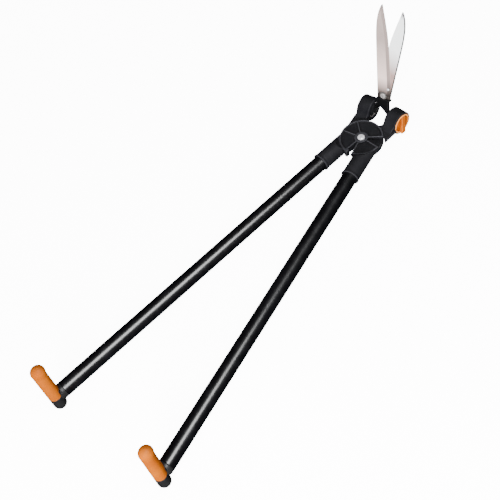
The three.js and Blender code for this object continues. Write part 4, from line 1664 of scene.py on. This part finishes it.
@dataclass
class BladeHalf(Part):
    """One half of the cutting head: blade, moulded tang, and the drum and bush that hang it in its ring."""

    half: Half
    length: float = 188.0
    half_width: float = 14.6
    bevel: float = 6.0
    edge: float = 0.7
    chamfer: float = 0.3
    back_band: float = 1.5
    root_drop: float = 6.2
    root_share: float = 0.96
    bevel_share: float = 0.4
    root_bevel: float = 1.5
    tip_share: float = 0.42
    shank: float = 18.0
    shank_half: float = 7.0
    bolt_hole: float = 4.3
    stud_hole: float = 1.7
    sections: int = 90
    crowding: float = 1.25
    ground_normal: Pair = (0.1, 0.3)
    sharp: float = 8.0
    shares: tuple[tuple[float, float, float], ...] = (
        (0.0, 0.95, 0.98), (0.08, 0.95, 1.02), (0.16, 0.95, 1.02), (0.33, 0.96, 0.96), (0.5, 0.97, 0.89),
        (0.62, 0.97, 0.8), (0.7, 0.95, 0.69), (0.78, 0.88, 0.54), (0.85, 0.75, 0.4), (0.91, 0.55, 0.26),
        (0.96, 0.33, 0.15), (0.99, 0.14, 0.08), (1.0, 0.03, 0.04),
    )
    tang_thick: float = 6.1
    neck_thick: float = 5.0
    neck_inset: float = 0.6
    neck_room: float = 4.0
    mouth_room: float = 0.9
    eye: float = 4.8
    neck_rise: float = 10.0
    neck_fall: float = 4.0
    mouth_rise: float = 4.0
    elbow: float = 15.0
    waist: float = 12.0
    bend: float = 7.3
    inner_steps: int = 12
    back_shares: Shares = (
        (-1.03, 0.187), (-0.72, 0.375), (-0.205, 0.572), (0.308, 0.708))
    pin: float = 2.2
    running_gap: float = 0.35
    tang_grain: float = 0.42
    tang_softness: int = 2
    bush_play: float = 0.3
    bush_inner: float = 11.0
    bush_outer: float = 4.6
    bush_bore: float = 13.0
    drum_inner: float = 12.6
    shoulder: float = 4.0
    drum_outer: float = 7.0
    nose: float = 9.0
    slot_end: float = 5.2
    small_edge: float = 0.35
    ball_steps: int = 40
    drum_sides: int = 128

    @property
    def eye_place(self) -> Vector:
        """Centre of the ring in the closed blade's directions.

        Returns:
            The point, in the plane between the blades.
        """
        linkage = self.layout.linkage
        angle = linkage.closed_tang
        return Vector((linkage.tang_reach * math.sin(angle), -linkage.tang_reach * math.cos(angle), 0.0))

    @property
    def blade_body(self) -> str:
        """Body that blade and tang ride on."""
        return f"{self.half.word}_blade"

    def section(self, at: float) -> list[Vector]:
        """Outline of the blade at a place along it.

        Args:
            at: place from the bolt, towards the tip.

        Returns:
            Its points, the flat side first, then the ground one and the spine.
        """
        rows = ((-self.root_drop / self.length, self.root_share, self.root_share), *self.shares)
        back, edge = (share * self.half_width for share in smooth_rows(rows, at / self.length))
        width = back + edge
        grown = max(0.0, min(1.0, (at + self.root_drop) / self.root_drop))
        ground = min(self.root_bevel + (self.bevel - self.root_bevel) * grown, width * self.bevel_share)
        corner = min(self.chamfer, width * self.bevel_share / 2.0)
        left = (self.length - at) / self.half_width
        low = self.gap / 2.0
        high = low + self.blade_thick * min(1.0, self.tip_share + (1.0 - self.tip_share) * left)
        band = min(self.back_band, width * self.bevel_share)
        return [Vector((x, at, z)) for x, z in (
            (corner - back, low), (band - back, low), (edge - corner, low), (edge, low + corner / 2.0),
            (edge, low + min(self.edge, (high - low) / 2.0)), (edge - ground, high), (corner - back, high),
            (-back, high - corner), (-back, low + corner),
        )]

    def back_at(self, at: float) -> float:
        """How far the blade's back lies from its middle line at a place along it."""
        return -min(point.x for point in self.section(at))

    def blade(self) -> None:
        """Builds the blade with its holes, and marks its ground face and its spine."""
        whole = self.length + self.root_drop
        shares = [1.0 - (1.0 - step / self.sections) ** self.crowding for step in range(self.sections + 1)]
        shells = Shells()
        shells.rows([self.section(whole * share - self.root_drop) for share in shares])
        low, high = self.gap / 2.0, self.gap / 2.0 + self.blade_thick
        shank = [(-self.shank_half, -self.shank), (self.shank_half, -self.shank),
                 (self.shank_half, self.gap - self.root_drop), (-self.shank_half, self.gap - self.root_drop)]
        shells.prism(shank, low, high)
        cutters = Shells()
        cutters.rod(self.bolt_hole, -self.blade_thick, 2.0 * self.blade_thick)
        if self.half is Half.FRONT:
            at_stud = Matrix.Translation((*self.stud_at, 0.0))
            cutters.rod(self.stud_hole, -self.blade_thick, 2.0 * self.blade_thick, at_stud)
        mesh = carved(f"{self.half.word}_blade", shells, cutters)
        ground = mesh.attributes.new("ground", "FLOAT", "FACE")
        spine = mesh.attributes.new("spine", "FLOAT", "FACE")
        for face in mesh.polygons:
            above = face.center.y > -self.root_drop
            slope = face.normal.x > self.ground_normal[0] and face.normal.z > self.ground_normal[1]
            ground.data[face.index].value = 1.0 if above and slope else 0.0
            beside = face.center.x < self.back_band - self.back_at(face.center.y)
            spine.data[face.index].value = 1.0 if above and beside else 0.0
        place = self.layout.blade(self.half)
        material = self.finishes.blades[self.half]
        piece = placed(f"{self.half.word}_ground_blade", mesh, place, material, self.sharp)
        hand_in(piece, self.blade_body, "blade", f"{self.half.word}_blade")

    def tang_outline(self) -> list[Pair]:
        """Outline of the tang, from the blade's root down its back to the ring and up its inner curve.

        Returns:
            The corners, in order.
        """
        eye = self.eye_place
        root = self.half_width * self.root_share
        mouth = eye.x - self.ring_half - self.mouth_room
        back = [(across * self.half_width, down * eye.y) for across, down in self.back_shares]
        start, middle, end = (
            Vector((mouth, eye.y + self.neck_rise + self.elbow - self.gap)),
            Vector((self.waist, -self.root_drop - self.bend)),
            Vector((root, -self.root_drop - self.gap)),
        )
        shares = [step / self.inner_steps for step in range(self.inner_steps)]
        inner = [tuple(start * (1.0 - s) ** 2 + middle * (2.0 * s * (1.0 - s)) + end * s * s) for s in shares]
        return [
            tuple(end),
            *curve_through([(-root, -self.root_drop - self.gap), *back]),
            (mouth, eye.y + self.mouth_rise),
            (eye.x, eye.y - self.neck_fall),
            (eye.x, eye.y + self.neck_fall),
            (eye.x - self.eye, eye.y + self.neck_rise),
            (mouth, eye.y + self.neck_rise),
            *inner,
        ]

    def tang(self) -> None:
        """Builds the black tang that is moulded on the blade's shank and reaches into the ring."""
        eye = self.eye_place
        low = self.gap / 2.0
        high = low + self.tang_thick
        shells = Shells()
        shells.prism(self.tang_outline(), low, high)
        neck_high = self.neck_inset + self.neck_thick
        around = Matrix.Translation(eye)
        shells.rod(self.eye, self.neck_inset, neck_high, around)
        cutters = Shells()
        start = eye.x - self.ring_half - self.neck_room
        end = eye.x + self.seat
        for foot, top in ((-self.blade_thick, self.neck_inset), (neck_high, 2.0 * self.tang_thick)):
            cutters.block((start, end), (eye.y - self.seat, eye.y + self.seat), (foot, top))
        pocket = self.shank_half + self.gap
        cutters.block((-pocket, pocket), (-self.shank - self.gap, self.gap),
                      (-self.blade_thick, low + self.blade_thick + self.gap))
        cutters.rod(self.pin + self.running_gap, -self.blade_thick, 2.0 * self.tang_thick, around)
        cutters.rod(self.washer + self.gap, low + self.blade_thick, 2.0 * self.tang_thick)
        piece = moulded_piece(f"{self.half.word}_moulded_tang", shells, self.layout.blade(self.half),
                              self.finishes.plastic, self.tang_grain, self.tang_softness, cutters=(cutters,))
        hand_in(piece, self.blade_body, "plastic", f"{self.half.word}_tang")

    def bush(self) -> None:
        """Builds the ball-shaped bush that sits in the ring's seat."""
        outer = self.seat - self.bush_play
        low, high = math.asin(-self.bush_inner / outer), math.asin(self.bush_outer / outer)
        soft = self.small_edge
        turns = [low + (high - low) * step / self.ball_steps for step in range(self.ball_steps + 1)]
        ball = [(outer * math.cos(turn), outer * math.sin(turn)) for turn in turns]
        bore = self.bush_bore
        shells = Shells()
        shells.lathe([*ball, (bore + soft, self.bush_outer), (bore, self.bush_outer - soft),
                      (bore, soft - self.bush_inner), (bore + soft, -self.bush_inner)], ALONG_X, ring=True)
        place = self.layout.in_ring(self.half)
        piece = turned_piece(f"{self.half.value}_ball_bush", shells, place, self.finishes.bush_grey)
        hand_in(piece, self.half.bush_body, "bush_grey", f"{self.half.value}_bush")

    def drum(self) -> None:
        """Builds the drum that carries the tang's eye, with its slot and the bore of its pin."""
        radius = self.bush_bore - self.bush_play
        shells = Shells()
        profile = [*disc_profile(radius, -self.drum_inner, self.shoulder, self.small_edge)[:-1],
                   (self.nose, self.drum_outer), (0.0, self.drum_outer)]
        shells.lathe(profile, ALONG_X, self.drum_sides)
        cutters = Shells()
        wide = 2.0 * radius
        slot = (self.neck_inset - self.running_gap, self.neck_inset + self.neck_thick + self.running_gap)
        cutters.block((-wide, self.slot_end), (-wide, wide), slot)
        bores = Shells()
        bores.rod(self.pin + self.gap / 2.0, -wide, wide)
        mesh = carved("drum", shells, cutters, bores)
        place = self.layout.in_ring(self.half)
        piece = placed(f"{self.half.value}_slotted_drum", mesh, place, self.finishes.plastic)
        hand_in(piece, self.half.drum_body, "plastic", f"{self.half.value}_drum")

    def dress(self) -> None:
        """Builds this half of the head."""
        self.blade()
        self.tang()
        self.bush()
        self.drum()


@dataclass
class Fasteners(Part):
    """Main pivot, blade bolt and stud: turned heads, washers and hexagon nuts."""

    nut_sides: int = 96
    pivot_shank: float = 4.0
    pivot_head: float = 6.9
    pivot_seat: float = 5.9
    pivot_top: float = 9.4
    pivot_dimple: float = 2.2
    nut_radius: float = 7.4
    bolt_shank: float = 4.0
    bolt_head: float = 5.3
    bolt_rise: float = 2.3
    bolt_dimple: float = 3.0
    washer_thick: float = 1.0
    blade_nut: float = 6.8
    blade_nut_thick: float = 3.8
    stud_shank: float = 1.4
    stud_head: float = 2.5
    stud_rise: float = 1.3
    dimple_shares: Shares = (
        (1.0, 0.0), (1.0, 0.3), (0.97, 0.5), (0.9, 0.72), (0.8, 0.88), (0.7, 0.97), (0.6, 1.0))
    bowl_shares: Shares = ((1.0, 0.0), (0.9, 0.5), (0.6, 0.9), (0.0, 1.0))
    depth_share: float = 0.45
    nut_corner: float = 1.2
    nut_fall: float = 0.48
    head_shares: Shares = (
        (1.0, 0.0), (1.0, 0.3), (0.96, 0.52), (0.87, 0.76), (0.74, 0.92), (0.56, 1.0), (0.0, 1.0))

    def head(self, radius: float, low: float, rise: float, dimple: float) -> Profile:
        """Profile of a rounded bolt head, with a turned dimple if it has a radius.

        Args:
            radius: radius of the head.
            low: height of its underside.
            rise: its height.
            dimple: radius of the dimple, or zero.

        Returns:
            The profile, down to the axis.
        """
        if dimple <= 0.0:
            return [(across * radius, low + up * rise) for across, up in self.head_shares]
        outer = [(across * radius, low + up * rise) for across, up in self.dimple_shares]
        depth = dimple * self.depth_share
        return outer + [(across * dimple, low + rise - down * depth) for across, down in self.bowl_shares]

    def nut(self, radius: float, hole: float, low: float, high: float) -> Shells:
        """Hexagon nut with a round hole and chamfered corners.

        Args:
            radius: distance of its corners.
            hole: radius of its hole.
            low: height of its underside.
            high: height of its top.

        Returns:
            Its closed shell.
        """
        third = math.pi / 3.0
        soft, fall = self.gap, self.nut_fall
        angles = [TAU * step / self.nut_sides for step in range(self.nut_sides)]
        flats = [radius * math.cos(third / 2.0) / math.cos(angle % third - third / 2.0) for angle in angles]
        outside = [([min(flat, radius - inset) for flat in flats], height) for inset, height in (
            (self.nut_corner, low), (0.0, low + fall), (0.0, high - fall), (self.nut_corner, high))]
        inside = [([hole + inset for _ in flats], height) for inset, height in (
            (soft, high), (0.0, high - soft), (0.0, low + soft), (soft, low))]
        rows = [[Vector((reach * math.cos(angle), reach * math.sin(angle), height))
                 for angle, reach in zip(angles, reaches)] for reaches, height in outside + inside]
        shells = Shells()
        shells.rows(rows, ring=True)
        return shells

    def pivot(self) -> None:
        """Builds the main pivot's bolt and nut."""
        steel = self.finishes.steel
        seat = self.pivot_seat + self.gap
        soft = self.gap
        bolt = Shells()
        bolt.lathe([(0.0, -self.disc_height), (self.pivot_shank - soft, -self.disc_height),
                    (self.pivot_shank, soft - self.disc_height), (self.pivot_shank, seat),
                    *self.head(self.pivot_head, seat, self.pivot_top - seat, self.pivot_dimple)])
        place = self.layout.whole()
        piece = turned_piece("turned_pivot_bolt", bolt, place, steel)
        hand_in(piece, "right_handle", "steel", "pivot_bolt")
        nut = self.nut(self.nut_radius, self.pivot_shank + self.gap, -self.disc_height - self.gap, -seat)
        piece = turned_piece("hexagon_pivot_nut", nut, place, steel)
        hand_in(piece, "right_handle", "steel", "pivot_nut")

    def head_bolt(self) -> None:
        """Builds the blade bolt with its washer and nut, and the stud beside the front blade's edge."""
        steel, darker, dull = self.finishes.steel, self.finishes.worn_steel, self.finishes.dull_steel
        place = self.layout.at_bolt(Half.FRONT)
        low = self.gap / 2.0 + self.blade_thick + self.gap
        head_low = low + self.washer_thick + self.gap
        soft = self.gap / 2.0
        bolt = Shells()
        bolt.lathe([(0.0, -low - self.blade_nut_thick), (self.bolt_shank - soft, -low - self.blade_nut_thick),
                    (self.bolt_shank, soft - low - self.blade_nut_thick), (self.bolt_shank, head_low),
                    *self.head(self.bolt_head, head_low, self.bolt_rise, self.bolt_dimple)])
        hand_in(turned_piece("turned_blade_bolt", bolt, place, darker), "front_blade", "steel", "blade_bolt")
        hole = self.bolt_shank + self.gap
        washer = Shells()
        washer.lathe(disc_profile(self.washer, low, low + self.washer_thick, soft, hole), ring=True)
        piece = turned_piece("round_blade_washer", washer, place, dull)
        hand_in(piece, "front_blade", "steel", "blade_washer")
        nut = self.nut(self.blade_nut, hole, -low - self.blade_nut_thick + self.gap, -low)
        hand_in(turned_piece("hexagon_blade_nut", nut, place, steel), "rear_blade", "steel", "blade_nut")
        stud = Shells()
        stud.lathe([(0.0, self.gap), (self.stud_shank, self.gap), (self.stud_shank, low),
                    *self.head(self.stud_head, low, self.stud_rise, 0.0)],
                   Matrix.Translation((*self.stud_at, 0.0)))
        blade = self.layout.blade(Half.FRONT)
        hand_in(turned_piece("round_blade_stud", stud, blade, steel), "front_blade", "steel", "blade_stud")

    def dress(self) -> None:
        """Builds all the fasteners."""
        self.pivot()
        self.head_bolt()


@dataclass
class TiltLock(Part):
    """Both rings' outer ends: a cap on the left, and plate, knob and wave washer on the right."""

    sides: int = 144
    cap_thick: float = 3.5
    cap_rim: float = 1.6
    cap_sink: float = 0.7
    plate_thick: float = 1.2
    plate_depth: float = 3.4
    plate_hole: float = 3.2
    edge: float = 0.4
    knob: float = 19.8
    knob_thick: float = 3.3
    knob_floor: float = 1.6
    knob_rim: float = 2.4
    knob_edge: float = 0.7
    wing_length: float = 36.0
    wing_width: float = 9.6
    wing_height: float = 6.4
    tilt: float = math.radians(17.0)
    wing_shares: Shares = (
        (0.9, 0.1), (0.45, 0.42), (-0.1, 0.62), (-0.6, 0.92), (-0.95, 1.0), (-1.08, 0.82), (-1.08, 0.25))
    foot_shares: Shares = ((-1.0, -0.2), (0.98, -0.2))
    spindle: float = 3.1
    spindle_end: float = 14.4
    travel: float = 2.0
    washer_inner: float = 8.0
    washer_outer: float = 12.0
    washer_thick: float = 0.3
    waves: float = 4.0
    wave_depth: float = 0.1
    grain: float = 0.34

    def ends(self) -> None:
        """Builds the left ring's cap and the right ring's plate."""
        radius = self.seat - self.gap
        top = self.ring_half
        low = top - self.cap_thick
        floor = top - self.cap_sink
        inner = radius - self.cap_rim
        cap = Shells()
        cap.lathe([*disc_profile(radius, low, top, self.edge)[:-1], (inner, top),
                   (inner - self.cap_sink, floor), (0.0, floor)], ALONG_X, self.sides)
        piece = turned_piece("left_ring_end_cap", cap, self.layout.ring(Side.RIGHT), self.finishes.casting)
        hand_in(piece, "right_handle", "casting", "left_ring_cap")
        top = self.ring_half - self.plate_depth
        low = top - self.plate_thick
        plate = Shells()
        plate.lathe([(self.plate_hole, low), (radius, low), (radius, top - self.gap),
                     (radius - self.gap, top), (self.plate_hole, top)], ALONG_X, self.sides, ring=True)
        place = self.layout.ring(Side.LEFT)
        piece = turned_piece("right_ring_end_plate", plate, place, self.finishes.plastic)
        hand_in(piece, "left_handle", "plastic", "right_ring_plate")

    def turn_knob(self) -> None:
        """Builds the knob: a dish with a rim, and a wing that stands out at its lower end as a tab."""
        base = self.ring_half - self.plate_depth + self.gap
        face = base + self.knob_thick
        rim_inner = self.knob - self.knob_rim
        shells = Shells()
        shells.lathe([
            (0.0, base),
            (self.knob, base),
            (self.knob, face - self.knob_edge),
            (self.knob - self.knob_edge, face),
            (rim_inner, face),
            (rim_inner - self.knob_edge, base + self.knob_floor),
            (0.0, base + self.knob_floor),
        ], ALONG_X, self.sides)
        half = self.wing_length / 2.0
        crest, foot = ([(face + up * self.wing_height, along * half) for along, up in shares]
                       for shares in (self.wing_shares, self.foot_shares))
        wing = Matrix.Rotation(math.pi / 2.0 - self.tilt, 4, "X")
        shells.prism([*curve_through(crest), *foot], -self.wing_width / 2.0, self.wing_width / 2.0, wing)
        cutters = Shells()
        roof = base + self.washer_thick + 2.0 * self.gap
        cutters.rod(self.washer_outer + self.gap, base - self.travel, roof, ALONG_X)
        bores = Shells()
        bores.rod(self.spindle, base - self.travel, self.spindle_end + self.travel, ALONG_X)
        piece = moulded_piece("winged_lock_knob", shells, self.layout.ring(Side.LEFT),
                              self.finishes.knob_orange, self.grain, cutters=(cutters, bores))
        hand_in(piece, "lock_knob", "knob_orange", "lock_knob")

    def wave_washer(self) -> None:
        """Builds the wave washer that presses the knob outwards."""
        material = self.finishes.steel
        low = self.ring_half - self.plate_depth + self.gap + self.wave_depth
        flat = Shells()
        top = low + self.washer_thick
        flat.lathe([(self.washer_inner, low), (self.washer_outer, low), (self.washer_outer, top),
                    (self.washer_inner, top)], sides=self.sides, ring=True)
        values = {"Waves": self.waves, "Depth": self.wave_depth, "Material": material}
        mesh = wave_tree().run(flat.mesh("wave"), values)
        piece = placed("bent_wave_washer", mesh, self.layout.ring(Side.LEFT) @ ALONG_X, material)
        hand_in(piece, "left_handle", "steel", "lock_spring_washer")

    def dress(self) -> None:
        """Builds both rings' outer ends."""
        self.ends()
        self.turn_knob()
        self.wave_washer()


@dataclass
class Buffer(Part):
    """Rubber buffer on the rear casting's edge, which the front casting's tab meets."""

    thick: float = 1.6
    width: float = 7.0
    height: float = 7.0
    inset: float = 4.0
    edge: float = 0.45

    def dress(self) -> None:
        """Builds the buffer with rounded edges."""
        reach = self.disc_radius - self.inset
        face = self.rib / 2.0 + self.gap
        half = self.width / 2.0
        level = self.height / 2.0
        shells = Shells()
        turn = Matrix.Rotation(self.handle_to - self.rib / 2.0 / self.disc_radius, 4, "Z")
        shells.block((reach - half, reach + half), (face, face + self.thick), (-level, level), turn)
        place = self.layout.handle(Side.RIGHT)
        piece = turned_piece("rounded_buffer", shells, place, self.finishes.rubber, self.edge)
        hand_in(piece, "right_handle", "rubber", "closing_buffer")


@dataclass
class Studio:
    """Plain pale floor, soft light, and a camera where the photographer stood."""

    layout: Layout
    eye: Point = (929.115, -966.348, 1632.122)
    turn: tuple[float, float, float] = (33.72301, 11.22941, 39.30057)
    lens: float = 78.8213
    sensor: float = 36.0
    floor_size: float = 60.0
    floor_shade: float = 0.86
    floor_glow: float = 11.0
    floor_roughness: float = 0.9
    floor_specular: float = 0.1
    nearest: float = 0.05
    sky: float = 0.7
    box_place: Point = (1.0, -0.1, 1.95)
    box_size: Pair = (1.0, 1.45)
    box_spin: float = math.radians(10.0)
    box_power: float = 72.0
    front_place: Point = (0.9, -1.6, 0.6)
    front_aim: Point = (0.0, 0.45, 0.2)
    front_size: Pair = (1.2, 0.8)
    front_power: float = 165.0

    def camera(self) -> None:
        """Sets the camera in the shears' own directions, before they were laid down."""
        data = bpy.data.cameras.new("Camera")
        data.lens = self.lens
        data.sensor_width = self.sensor
        data.sensor_fit = "HORIZONTAL"
        data.clip_start = self.nearest
        camera = bpy.data.objects.new("Camera", data)
        bpy.context.scene.collection.objects.link(camera)
        turned = Euler([math.radians(angle) for angle in self.turn]).to_matrix().to_4x4()
        camera.matrix_world = self.layout.lying() @ Matrix.Translation(Vector(self.eye) * MM) @ turned
        bpy.context.scene.camera = camera

    def floor(self) -> None:
        """Lays the floor under the shears."""
        half = self.floor_size / 2.0
        mesh = bpy.data.meshes.new("floor")
        corners = [(-half, -half, 0.0), (half, -half, 0.0), (half, half, 0.0), (-half, half, 0.0)]
        mesh.from_pydata(corners, [], [(0, 1, 2, 3)])
        surface = Surface("pale_floor")
        shade = self.floor_shade
        surface.set(Base_Color=(shade, shade, shade, 1.0), Roughness=self.floor_roughness,
                    Specular_IOR_Level=self.floor_specular, Emission_Color=(1.0, 1.0, 1.0, 1.0),
                    Emission_Strength=self.floor_glow)
        mesh.materials.append(surface.material)
        floor = linked("floor", mesh)
        floor.visible_glossy = False
        floor.visible_diffuse = False

    def lamp(self, name: str, place: Vector, aim: Vector, size: Pair, power: float,
             spin: float = 0.0) -> bpy.types.Object:
        """Hangs a soft rectangular lamp, its second side along y before it is spun.

        Args:
            name: its name.
            place: its middle.
            aim: point that it shines at.
            size: its width and length in metres.
            power: its power in watts.
            spin: how far it is turned about its own middle.

        Returns:
            The lamp.
        """
        data = bpy.data.lights.new(name, "AREA")
        data.shape = "RECTANGLE"
        data.size, data.size_y = size
        data.energy = power
        lamp = bpy.data.objects.new(name, data)
        bpy.context.scene.collection.objects.link(lamp)
        back = (place - aim).normalized()
        across = Vector((0.0, 1.0, 0.0)).cross(back).normalized()
        turned = Matrix((across, back.cross(across), back)).transposed().to_4x4()
        lamp.matrix_world = Matrix.Translation(place) @ turned @ Matrix.Rotation(spin, 4, "Z")
        return lamp

    def light(self) -> None:
        """Sets an even sky that gloss doesn't show, the softbox of the tubes' stripes, and the front lamp."""
        world = bpy.data.worlds.new("World")
        bpy.context.scene.world = world
        world.use_nodes = True
        back = next(node for node in world.node_tree.nodes if node.type == "BACKGROUND")
        back.inputs["Strength"].default_value = self.sky
        back.inputs["Color"].default_value = (1.0, 1.0, 1.0, 1.0)
        world.cycles_visibility.glossy = False
        self.lamp("softbox", Vector(self.box_place), Vector(), self.box_size, self.box_power, self.box_spin)
        front = self.lamp("front", Vector(self.front_place), Vector(self.front_aim), self.front_size,
                          self.front_power)
        front.visible_glossy = False

    def dress(self) -> None:
        """Builds the whole studio."""
        self.camera()
        self.floor()
        self.light()


def dress_hidden(finishes: Finishes) -> None:
    """Gives the inner CAD nodes that stay as they are their finishes.

    Args:
        finishes: all finishes.
    """
    for name in ("pivot_bush", "left_drum_pin", "right_drum_pin", "lock_spindle"):
        dress_node(name, finishes.steel)
    dress_node("pivot_shim", finishes.bush_grey)


def main() -> None:
    """Builds every sub-assembly in order."""
    logging.basicConfig(level=logging.INFO, format="%(name)s: %(message)s")
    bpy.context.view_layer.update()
    layout = Layout(Linkage())
    finishes = Finishes(layout)
    Studio(layout).dress()
    for side in Side:
        for kind in (Casting, Tube, Grip):
            kind(layout, finishes, side).dress()
    for half in Half:
        BladeHalf(layout, finishes, half).dress()
    for kind in (Fasteners, TiltLock, Buffer):
        kind(layout, finishes).dress()
    dress_hidden(finishes)


if __name__ == "__main__":
    main()
